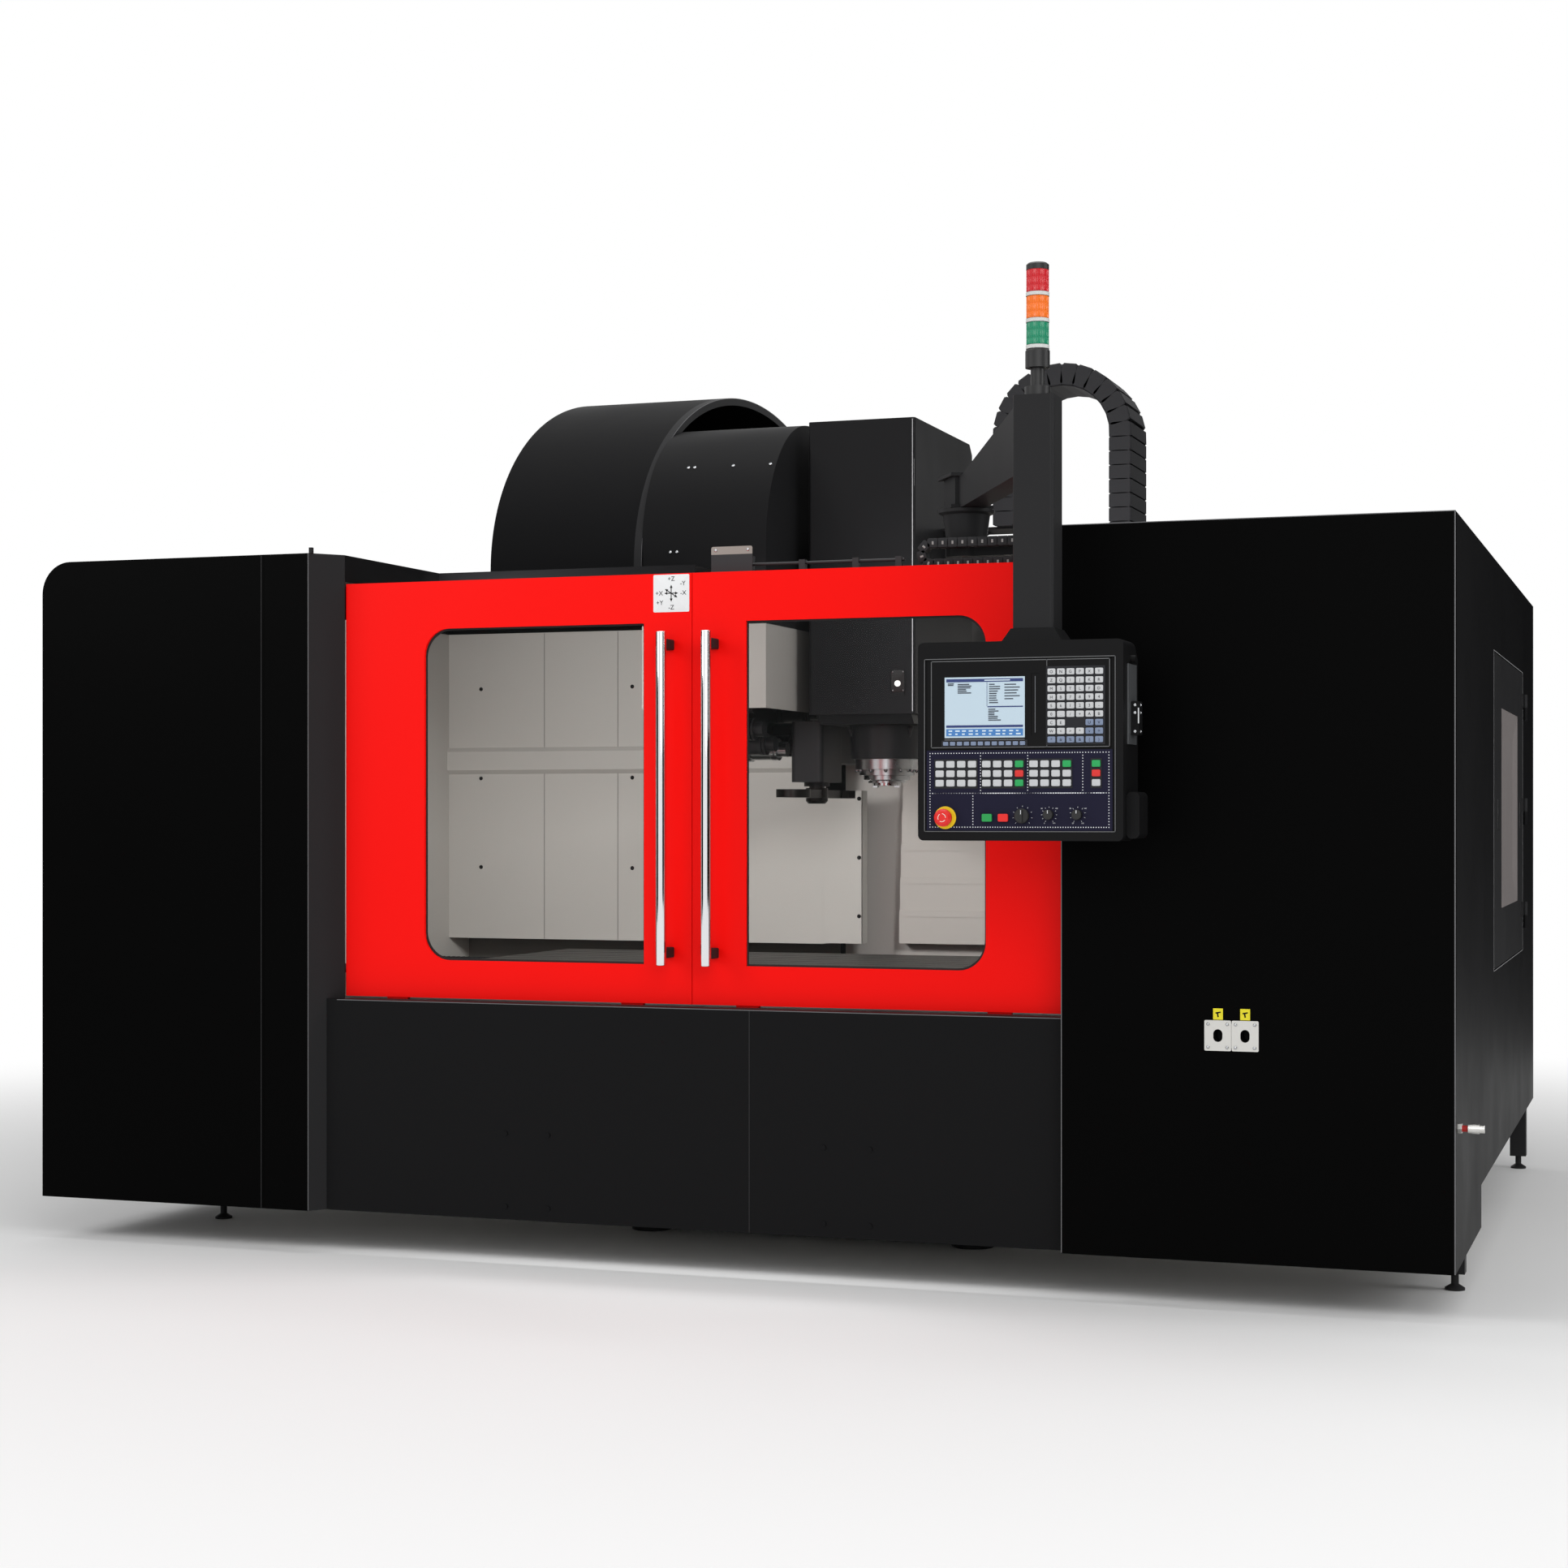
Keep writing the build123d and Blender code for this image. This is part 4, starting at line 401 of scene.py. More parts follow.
def banded(name, main, other, bands, peel=260.0, specular=0.3, depth=0.0002):
    """Two finishes on one casting: other shows where the bands' masks meet, main everywhere else.

    main and other are (colour, roughness, metallic); each band is (direction, low, high).
    """
    material, tree, shader = blank_material(name)
    masks = [effect(tree, "Band Mask", Direction=way, Low=low, High=high)["Mask"] for way, low, high in bands]
    mask = masks[0]
    for band in masks[1:]:
        mask = maths(tree, "MULTIPLY", mask, band)
    skins = []
    for colour, roughness, _ in (main, other):
        colour = linear(colour)
        skins.append(effect(tree, "Enamel Skin", Colour=colour, Dust_Colour=dusted(colour, 0.1), Dust=0.04,
                            Roughness=roughness, Peel=peel))

    def mixed(label, kind):
        """One of the two skins' values, chosen by the mask."""
        inputs = {"Factor": mask, "A": skins[0][label], "B": skins[1][label]}
        return add(tree, "Mix", inputs, data_type=kind).outputs["Result"]

    gloss = add(tree, "MapRange", {"Value": mask, "To Min": main[2], "To Max": other[2]})
    wire(tree, shader, {
        "Base Color": mixed("Colour", "RGBA"), "Roughness": mixed("Roughness", "FLOAT"),
        "Metallic": gloss.outputs["Result"], "Specular IOR Level": specular,
        "Normal": bump(tree, skins[0]["Height"], depth),
    })
    return material


def glow(name, colour, strength, roughness=0.3):
    """A lit or brightly coloured surface, with a slight mottle."""
    material, tree, shader = blank_material(name)
    colour = linear(colour)
    skin = effect(tree, "Enamel Skin", Colour=colour, Dust_Colour=colour, Dust=0.0, Roughness=roughness,
                  Peel=600.0)
    wire(tree, shader, {
        "Base Color": skin["Colour"], "Emission Color": skin["Colour"], "Emission Strength": strength,
        "Roughness": skin["Roughness"],
    })
    return material


def clear_sheet(name):
    """Laminated window sheet: almost wholly clear, with faint smears in its tint."""
    material, tree, shader = blank_material(name)
    skin = effect(tree, "Enamel Skin", Colour=(0.05, 0.055, 0.055), Dust_Colour=(0.3, 0.3, 0.29), Dust=0.05,
                  Roughness=0.01, Peel=3.0)
    wire(tree, shader, {
        "Base Color": skin["Colour"], "Roughness": 0.02, "Alpha": 0.035, "Specular IOR Level": 0.3,
    })
    return material


def dress(material, *names):
    """Gives CAD nodes a finish in place of their plain one."""
    for name in names:
        slots = NODES[name].material_slots
        if not slots:
            NODES[name].data.materials.append(material)
        for one in slots:
            one.material = material


# Studio


def studio_sheet(name, corners, material):
    """A flat four-cornered sheet that belongs to the studio."""
    mesh = bpy.data.meshes.new(name)
    mesh.from_pydata(corners, [], [(0, 1, 2, 3)])
    mesh.materials.append(material)
    made = add_object(name, mesh)
    return made


class MACHINE_OT_stage(bpy.types.Operator):
    """Floor, soft light, world and the camera at the eye of someone in front, to the right"""

    bl_idname = "machine.stage"
    bl_label = "Studio"

    def execute(self, context):
        scene = context.scene
        scene.view_settings.view_transform = "Standard"
        self.floor()
        self.world(scene)
        self.lamps(scene)
        self.cards()
        self.camera(scene)
        return {"FINISHED"}

    def floor(self):
        """A pale floor that fades to white with the distance, for the eye only."""
        material, tree, shader = blank_material("pale floor")
        skin = effect(tree, "Enamel Skin", Colour=linear("floor"), Dust_Colour=(0.8, 0.8, 0.8), Dust=0.02,
                      Roughness=0.6, Peel=40.0)
        wire(tree, shader, {"Base Color": skin["Colour"], "Roughness": 0.85, "Specular IOR Level": 0.1})
        away = maths(tree, "LENGTH", add(tree, "TexCoord").outputs["Object"], kind="VectorMath")
        fade = add(tree, "MapRange", {"Value": away, "From Min": 4.2, "From Max": 9.0},
                   interpolation_type="SMOOTHSTEP").outputs["Result"]
        share = maths(tree, "MULTIPLY", self.seen_rays(tree), fade)
        white = add(tree, "Emission").outputs[0]
        mix = add(tree, "MixShader", {0: share, 1: shader.outputs[0], 2: white}).outputs[0]
        wire(tree, tree.nodes["Material Output"], {"Surface": mix})
        reach = 60.0
        corners = [(-reach, -reach, 0), (reach, -reach, 0), (reach, reach, 0), (-reach, reach, 0)]
        studio_sheet("floor", corners, material)

    def seen_rays(self, tree):
        """1 for what the eye sees: straight on, in a mirror or through glass."""
        path = add(tree, "LightPath").outputs
        total = path["Is Camera Ray"]
        for label in ("Is Glossy Ray", "Is Transmission Ray"):
            total = maths(tree, "MAXIMUM", total, path[label])
        return total

    def world(self, scene):
        """White for the eye, and about half as bright as a light."""
        world = bpy.data.worlds.new("studio")
        scene.world = world
        world.use_nodes = True
        tree = world.node_tree
        level = add(tree, "MapRange", {"Value": self.seen_rays(tree), "To Min": 0.52, "To Max": 1.0})
        light = {"Color": (1.0, 1.0, 1.0, 1.0), "Strength": level.outputs["Result"]}
        wire(tree, tree.nodes["Background"], light)

    def lamps(self, scene):
        """Soft lamps round the machine, which show in glossy surfaces, and two inside it, which don't."""
        machine, room = Vector((0.0, -1.5, 1.6)), Vector((0.0, 0.9, 1.55))
        for name, place, aimed, size, power in (
            ("front softbox", (5.5, -11.0, 6.5), machine, 8.0, 430.0),
            ("left softbox", (-7.5, -8.0, 5.5), machine, 4.0, 215.0),
            ("top softbox", (0.0, -1.0, 9.5), machine, 6.0, 220.0),
            ("right softbox", (10.0, -1.0, 4.5), machine, 3.5, 150.0),
            ("left work lamp", (-1.35, -1.35, 2.3), room, 0.5, 37.0),
            ("right work lamp", (1.3, -1.35, 2.3), room, 0.5, 32.0),
        ):
            lamp = bpy.data.lights.new(name, "AREA")
            lamp.size = size
            lamp.energy = power
            holder = bpy.data.objects.new(name, lamp)
            holder.location = place
            holder.rotation_euler = (aimed - holder.location).to_track_quat("-Z", "Y").to_euler()
            holder.visible_camera = False
            holder.visible_glossy = aimed == machine
            scene.collection.objects.link(holder)

    def cards(self):
        """Tall black cards round the machine: bright tubes and dark enamel see them, nothing else does."""
        material = enamel("black card", (8, 8, 8), 0.9, 0.0, dust=0.0)
        tall = 9.0
        for name, near, far in (
            ("left card", (-8.5, -12.0), (-13.1, -3.2)), ("right card", (10.0, -9.9), (14.0, -1.0)),
            ("rear card", (2.6, 8.5), (11.5, 4.0)),
        ):
            card = studio_sheet(name, [(*near, 0), (*far, 0), (*far, tall), (*near, tall)], material)
            for seen in ("camera", "diffuse", "transmission", "shadow", "volume_scatter"):
                setattr(card, "visible_" + seen, False)

    def camera(self, scene):
        """The eye that was fitted to the photo's edges."""
        lens = bpy.data.cameras.new("camera")
        lens.sensor_width = 36.0
        lens.lens = 60.15
        lens.shift_y = 0.0202
        lens.clip_end = 200.0
        eye = bpy.data.objects.new("camera", lens)
        eye.location = (3.5395, -10.9694, 1.72)
        eye.rotation_euler = (math.radians(90), 0, math.radians(19.306))
        scene.collection.objects.link(eye)
        scene.camera = eye


# Finishes of the CAD nodes


class MACHINE_OT_enclosure(bpy.types.Operator):
    """Black enamel on the wings, sides, roof, hood, apron and back"""

    bl_idname = "machine.enclosure"
    bl_label = "Enclosure"

    def execute(self, context):
        dress(enamel("front enamel", "front", 0.34, 0.03, dust=0.0), "left_front_panel", "right_front_panel")
        dress(enamel("side enamel", "sides", 0.38, 0.06, dust=0.01), "left_side_panel", "right_side_panel",
              "left_roof_panel", "right_roof_panel", "front_apron", "rear_panel", "cabinet_door")
        dress(enamel("trim enamel", "trim", 0.36, 0.08, dust=0.02), "left_corner_post", "boom_bracket",
              "pendant_boom", "support_feet")
        sheet, folded, pale = ("sides", 0.45, 0.0), ((46, 46, 47), 0.4, 0.0), ((122, 119, 115), 0.5, 0.0)
        rim = [(X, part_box("magazine_hood")[1].x - 0.034, FAR)]
        dress(banded("hood enamel", sheet, folded, rim, specular=0.03), "magazine_hood")
        header_bottom = 2.54
        below_header = [(Z, -FAR, header_bottom)]
        dress(banded("changer cover enamel", sheet, pale, below_header, specular=0.06), "changer_cover")
        dress(enamel("head cover enamel", (24, 24, 25), 0.36, 0.08, dust=0.0, depth=0.00005), "head_cover")
        self.side_door()
        tray_top, back = 1.1035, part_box("splash_guards")[1].y - 0.006
        # The rear wall below the tray top takes a darker grey: painted shade low on the wall.
        wall, painted_shade = ("inside", 0.5, 0.0), ((112, 109, 104), 0.55, 0.0)
        low_wall = [(Z, -FAR, tray_top), (Y, back, FAR)]
        dress(banded("inner enamel", wall, painted_shade, low_wall, specular=0.1, depth=0.00006), "splash_guards")
        dress(enamel("pan enamel", "inside", 0.5, 0.1, dust=0.05, depth=0.00006), "chip_pan")
        dress(enamel("cabinet enamel", (150, 152, 150), 0.45, 0.35), "electrical_cabinet")
        return {"FINISHED"}

    def side_door(self):
        """Lighter enamel than the wall round it, and a paler bevelled window."""
        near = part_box("side_door")[0].y
        leaf, window = ("trim", 0.36, 0.0), ((128, 122, 121), 0.3, 0.0)
        bottom, top, first, last = 1.337, 2.166, 0.436, 1.426
        bands = [(Z, bottom, top), (Y, near + first, near + last)]
        dress(banded("side door enamel", leaf, window, bands, specular=0.1), "side_door")


class MACHINE_OT_doors(bpy.types.Operator):
    """Red enamel, window sheets and bright handles on black brackets"""

    bl_idname = "machine.doors"
    bl_label = "Doors"

    def execute(self, context):
        dress(enamel("door enamel", "door", 0.32, 0.12, dust=0.0), "left_door", "right_door")
        dress(clear_sheet("window sheet"), "left_door_window", "right_door_window")
        self.handles()
        beam, plate = ((44, 44, 46), 0.4, 0.0), ((150, 140, 134), 0.3, 1.0)
        tall, left, right = 0.03, -0.2, 0.19
        switch = [(Z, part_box("door_beam")[1].z - tall, FAR), (X, left, right)]
        dress(banded("beam and switch", beam, plate, switch), "door_beam")
        return {"FINISHED"}

    def handles(self):
        """Bright tubes, each a rounded-end profile turned about its line, on black soft-edged feet."""
        bright = metal("bright tube", (226, 227, 229), (500.0, 500.0, 2.0), 0.07, 0.12, depth=0.00001)
        black = enamel("handle foot enamel", (34, 33, 34), 0.45, 0.2, dust=0.05)
        radius, edge = 0.02, 0.003
        foot_inset, foot_wide, foot_gap = 0.046, 0.04, 0.006
        for side in ("left", "right"):
            node, body = side + "_door_handle", side + "_door"
            low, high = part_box(node)
            x, y = (low.x + high.x) / 2, low.y + radius
            turn = np.radians(np.arange(0, 91, 15))
            top = np.column_stack([radius - edge + edge * np.cos(turn), high.z - edge + edge * np.sin(turn)])
            bottom = np.column_stack([top[::-1, 0], low.z + high.z - top[::-1, 1]])
            rod = lathe(np.concatenate([bottom, top]), 40)
            made = piece(side + "_handle_tube", placed(rod, UP, (x, y, 0.0)), bright, body)
            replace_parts(made, node)
            foot = pillow(foot_wide * 0.9, foot_wide, high.y - y - foot_gap)
            places = [(x, high.y, z) for z in (low.z + foot_inset, high.z - foot_inset)]
            piece(side + "_handle_feet", placed(foot, FRONT, *places), black, body)


class MACHINE_OT_machine(bpy.types.Operator):
    """Castings, table, guides, spindle and the tool changer"""

    bl_idname = "machine.inner_machine"
    bl_label = "Inner machine"

    def execute(self, context):
        dress(enamel("casting enamel", "casting", 0.5, 0.35, dust=0.12, peel=120.0, depth=0.001),
              "base_casting", "saddle_casting")
        dress(enamel("column enamel", (184, 179, 174), 0.5, 0.2, dust=0.05, peel=120.0, depth=0.0004),
              "column_casting")
        dress(enamel("dark casting enamel", (24, 24, 25), 0.35, 0.35, dust=0.02, peel=90.0, depth=0.0004),
              "head_casting", "changer_gearbox", "magazine_disc")
        dress(metal("ground steel", "steel", (3.0, 300.0, 300.0)), "guide_rails", "change_pot")
        dress(metal("turned steel", (200, 201, 203), (30.0, 30.0, 900.0), 0.18, 0.2), "spindle_shaft")
        dress(metal("black oxide", (52, 51, 50), (60.0, 60.0, 60.0), 0.36, 0.3), "changer_arm", "changer_ram")
        ring_top = 1.971
        black, bright = ((22, 22, 23), 0.3, 0.0), ((196, 198, 200), 0.2, 1.0)
        dress(banded("spindle housing", black, bright, [(Z, -FAR, ring_top)]), "spindle_housing")
        low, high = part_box("work_table")
        side, milled = ((24, 24, 25), 0.45, 0.0), ((84, 83, 80), 0.45, 0.7)
        top = [(Z, high.z - 0.02, FAR), (Y, low.y + 0.002, FAR)]
        dress(banded("milled table", side, milled, top), "work_table")
        return {"FINISHED"}


class MACHINE_OT_pendant(bpy.types.Operator):
    """The pendant's case, panels, buttons and knobs"""

    bl_idname = "machine.pendant"
    bl_label = "Pendant"

    def execute(self, context):
        case, plate = ((12, 12, 13), 0.45, 0.0), ((96, 98, 100), 0.35, 0.6)
        right, plate_bottom, plate_top, panels_meet = 1.723, 1.955, 2.235, 1.945
        sides = [(X, right + 0.001, right + 0.0065), (Z, plate_bottom, plate_top)]
        dress(banded("pendant case", case, plate, sides, specular=0.12), "pendant_housing")
        lower, upper = ("panel", 0.4, 0.0), ((9, 9, 10), 0.35, 0.0)
        dress(banded("pendant panels", lower, upper, [(Z, panels_meet, FAR)], peel=500.0, specular=0.12),
              "control_panels")
        dress(glow("screen sheet", (176, 194, 206), 0.22, 0.15), "control_screen")
        for name, colour, nodes in (
            ("red button", (226, 30, 24), ("emergency_stop", "feed_hold_button")),
            ("green button", (20, 150, 70), ("cycle_start_button",)),
            ("white button", (228, 228, 224), ("unclamp_button",)),
        ):
            dress(enamel(name, colour, 0.25, 0.5, dust=0.0), *nodes)
        dress(enamel("knob plastic", (18, 18, 19), 0.4, 0.45, dust=0.02, peel=700.0), "mode_dial",
              "feed_knob", "speed_knob", "stack_light_base")
        return {"FINISHED"}


class MACHINE_OT_fittings(bpy.types.Operator):
    """Gun sockets and the air coupler"""

    bl_idname = "machine.fittings"
    bl_label = "Fittings"

    def execute(self, context):
        dark, sheet = ((14, 14, 14), 0.5, 0.0), ("stainless", 0.3, 1.0)
        plates = [(Y, -FAR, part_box("gun_sockets")[0].y + 0.0072)]
        dress(banded("socket plates", dark, sheet, plates, peel=80.0), "gun_sockets")
        bright, red = ((215, 214, 210), 0.16, 1.0), ((170, 30, 26), 0.35, 0.0)
        wall = 2.756
        dress(banded("air coupler", bright, red, [(X, wall + 0.014, wall + 0.034)]), "air_coupler")
        return {"FINISHED"}


# Cable chains and covers that follow the axes


def chain_path(left, right, low_left, low_right, top, pitch, upright=True):
    """Stations along a half-circle bend with two straight runs: points, tangents and outward normals.

    An upright chain arches over the top; a lying one bends at its left end, from the upper run to the lower.
    """
    radius = (right - left) / 2
    first, bend, last = top - low_left, math.pi * radius, top - low_right
    length = first + bend + last
    count = int(round(length / pitch))
    along = (np.arange(count) + 0.5) * length / count
    turn = np.clip((along - first) / radius, 0, math.pi)
    normal = np.stack([-np.cos(turn), np.sin(turn)], axis=-1)
    tangent = np.stack([np.sin(turn), np.cos(turn)], axis=-1)
    points = np.array([left + radius, top]) + radius * normal
    points[:, 1] += np.minimum(along - first, 0) - np.maximum(along - first - bend, 0)
    path = [points, tangent, normal]
    if not upright:
        path = [np.stack([-value[:, 1], value[:, 0]], axis=-1) for value in path]
    return *path, length / count


def chain_link(pitch, thick, width, plate):
    """One link: two rounded side plates and two cross bars, in (along, outward, across)."""
    turn = full_turn(20)
    along = np.sign(np.cos(turn)) * np.abs(np.cos(turn)) ** 0.35 * pitch * 0.57
    out = np.sign(np.sin(turn)) * np.abs(np.sin(turn)) ** 0.3 * thick * 0.47
    ring = np.stack([along, out], axis=-1)
    shapes = []
    for low in (0.0, width - plate):
        rows = ((0.94, low), (1.0, low + plate * 0.15), (1.0, low + plate * 0.85), (0.94, low + plate))
        rings = [np.column_stack([ring * scale, np.full(len(ring), level)]) for scale, level in rows]
        shapes.append((np.concatenate(rings), grid_faces(len(rows), len(ring))))
    half, thin, near, far = pitch * 0.45, thick * 0.035, plate * 0.5, width - plate * 0.5
    for centre in (thick * 0.46, -thick * 0.46):
        shapes.append(block((-half, centre - thin, near), (half, centre + thin, far)))
    return shapes


def chain_piece(name, path, link_shapes, y, material):
    """Every link set on its station: point + along*tangent + outward*normal, and across along Y."""
    points, tangent, normal, _ = path
    batches = []
    for local, faces in link_shapes:
        place = points[:, None] + local[:, :1] * tangent[:, None] + local[:, 1:2] * normal[:, None]
        across = np.broadcast_to(local[:, 2] + y, place.shape[:2])
        world = np.stack([place[..., 0], across, place[..., 1]], axis=-1).reshape(-1, 3)
        batches.append((world, repeated(faces, len(local), len(points))))
    return piece(name, batches, material)


class MACHINE_OT_chains(bpy.types.Operator):
    """The head's arched cable chain and the right door's small one, link by link"""

    bl_idname = "machine.chains"
    bl_label = "Cable chains"

    def execute(self, context):
        plastic = enamel("chain plastic", (38, 38, 40), 0.5, 0.2, dust=0.03, peel=500.0)
        self.head_chain(plastic)
        self.door_chain(plastic)
        return {"FINISHED"}

    def head_chain(self, plastic):
        """The upright loop from the roof over to the head."""
        low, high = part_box("z_cable_chain")
        thick, plate, left_end, right_end = 0.1, 0.016, 3.0, 2.752
        top = high.z - (high.x - low.x) / 2
        path = chain_path(low.x + thick / 2, high.x - thick / 2, left_end, right_end, top, sizes().link)
        link = chain_link(path[3], thick, high.y - low.y, plate)
        made = chain_piece("head_chain_links", path, link, low.y, plastic)
        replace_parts(made, "z_cable_chain")
        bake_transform(made)

    def door_chain(self, plastic):
        """The lying loop behind the beam, with a pale rivet on every link."""
        low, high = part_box("door_cable_chain")
        thick, plate, wing_gap = 0.036, 0.006, 0.06
        bend = low.x + (high.z - low.z) / 2
        lower_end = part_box("right_front_panel")[0].x - wing_gap
        path = chain_path(low.z + thick / 2, high.z - thick / 2, -high.x, -lower_end, -bend,
                          sizes().small_link, upright=False)
        link = chain_link(path[3], thick, high.y - low.y, plate)
        made = chain_piece("door_chain_links", path, link, low.y, plastic)
        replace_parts(made, "door_cable_chain")
        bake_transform(made)
        pale = enamel("chain rivets", (150, 150, 148), 0.4, 0.3, dust=0.05, peel=500.0)
        rivet = block((-0.0035, -0.006, -0.0006), (0.0035, 0.006, 0.0006))
        made = chain_piece("door_chain_rivets", path, [rivet], low.y, pale)
        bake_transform(made)


class MACHINE_OT_covers(bpy.types.Operator):
    """Folded bellows beside the table and stepped plates ahead of the saddle and below the head"""

    bl_idname = "machine.covers"
    bl_label = "Way covers"

    def execute(self, context):
        self.bellows()
        self.stepped_front()
        self.stepped_column()
        return {"FINISHED"}

    def bellows(self):
        """A folded sheet: height z(x) is a triangle wave, carried across the width."""
        rubber = enamel("bellows rubber", (30, 30, 32), 0.6, 0.3, dust=0.25, peel=900.0)
        low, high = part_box("x_way_covers")
        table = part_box("work_table")
        wave, thick = 0.026, 0.0016
        for name, start, end in (("left_bellows", low.x, table[0].x), ("right_bellows", high.x, table[1].x)):
            folds = int(round(abs(end - start) / sizes().bellows * 2))
            along = np.linspace(0, 1, folds * 6 + 1)
            phase = along * folds
            height = high.z - wave * np.abs(2 * (phase - np.floor(phase + 0.5)))
            x = start + (end - start) * along
            rows = [np.column_stack([x, np.full(len(x), low.y), level]) for level in (height, height - thick)]
            outline = np.concatenate([rows[0], rows[1][::-1]])
            made = piece(name, swept(outline, (0, high.y - low.y, 0)), rubber)
            if name == "left_bellows":
                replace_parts(made, "x_way_covers")
            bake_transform(made)

    def stepped_front(self):
        """Plates that lie one under the other: each is lower and narrower by one drop, with a bent lip."""
        metal_plate = metal("cover plate", (150, 152, 154), (300.0, 4.0, 300.0), 0.34, 0.2)
        low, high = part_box("y_way_cover")
        count, sheet, step, gap = 6, 0.004, 0.0045, 0.0005
        pitch = (high.y - low.y) / count
        shapes = []
        for k in range(count):
            drop = step * (count - 1 - k)
            front, back = low.y + k * pitch, low.y + (k + 1) * pitch - gap
            top, left, right = high.z - drop, low.x + drop, high.x - drop
            shapes += [
                block((left, front, top - sheet), (right, back, top)),
                block((left, front, low.z), (left + sheet, back, top - sheet)),
                block((right - sheet, front, low.z), (right, back, top - sheet)),
                block((left + 0.01, front - 0.003, top - 0.04), (right - 0.01, front, top - gap)),
            ]
        made = flat_piece("front_way_plates", shapes, metal_plate)
        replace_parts(made, "y_way_cover")
        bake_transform(made)

    def stepped_column(self):
        """Upright plates, each set back from the one below it by one step."""
        pale = enamel("column plate enamel", (196, 191, 185), 0.42, 0.25, dust=0.05, peel=90.0)
        low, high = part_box("z_way_cover")
        count, sheet, gap = 6, 0.004, 0.0005
        pitch = (high.z - low.z) / count
        shapes = []
        for k in range(count):
            step = 0.0035 * k
            base, top = low.z + k * pitch, low.z + (k + 1) * pitch - gap
            left, right, front = low.x + step, high.x - step, low.y + step
            shapes += [
                block((left, front, base), (right, front + sheet, top)),
                block((left, front + sheet, base), (left + sheet, high.y, top)),
                block((right - sheet, front + sheet, base), (right, high.y, top)),
                block((left + 0.01, front - 0.003, top - 0.03), (right - 0.01, front, top)),
            ]
        made = flat_piece("column_way_plates", shapes, pale)
        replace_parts(made, "z_way_cover")
        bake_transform(made)


# The pendant's small parts


def middle(node):
    """The middle of a CAD node's box."""
    low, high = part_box(node)
    return (low + high) / 2


def pendant_front():
    """The front of the pendant's case."""
    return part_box("pendant_housing")[0].y


def panel_front():
    """The lower panel's printed face."""
    return pendant_front() + 0.003


def legends(name, entries, material, body):
    """Letters and figures laid flat on a front face: entries are (text, height, (x, y, z))."""
    work = bmesh.new()
    for words, height, place in entries:
        curve = bpy.data.curves.new("words", "FONT")
        curve.body = words
        curve.size = height
        curve.align_x = "CENTER"
        curve.align_y = "CENTER"
        curve.resolution_u = 2
        holder = bpy.data.objects.new("words", curve)
        flat = bpy.data.meshes.new_from_object(holder)
        points = np.array([vertex.co for vertex in flat.vertices], float).reshape(-1, 3)
        flat.vertices.foreach_set("co", (points @ FRONT + np.array(place)).ravel())
        work.from_mesh(flat)
        bpy.data.meshes.remove(flat)
        bpy.data.objects.remove(holder)
        bpy.data.curves.remove(curve)
    bmesh.ops.dissolve_limit(work, angle_limit=0.01, verts=work.verts, edges=work.edges)
    mesh = bpy.data.meshes.new(name)
    work.to_mesh(mesh)
    work.free()
    mesh.materials.append(material)
    return add_object(name, mesh, body)


def key_rows(first, pitch, columns, rows, without=()):
    """Centres of a block of keys, left to right and downwards, as (column, row, x, z) rows."""
    column, row = np.meshgrid(np.arange(columns), np.arange(rows))
    column, row = column.ravel(), row.ravel()
    keep = np.array([(c, r) not in without for c, r in zip(column, row)])
    x, z = first[0] + column * pitch[0], first[1] - row * pitch[1]
    return np.stack([column, row, x, z], axis=-1)[keep]


def caps(rows, width, height, depth, y):
    """Keycaps that face the operator, at the centres of (column, row, x, z) rows."""
    return placed(pillow(width, height, depth), FRONT, *[(x, y, z) for _, _, x, z in rows])


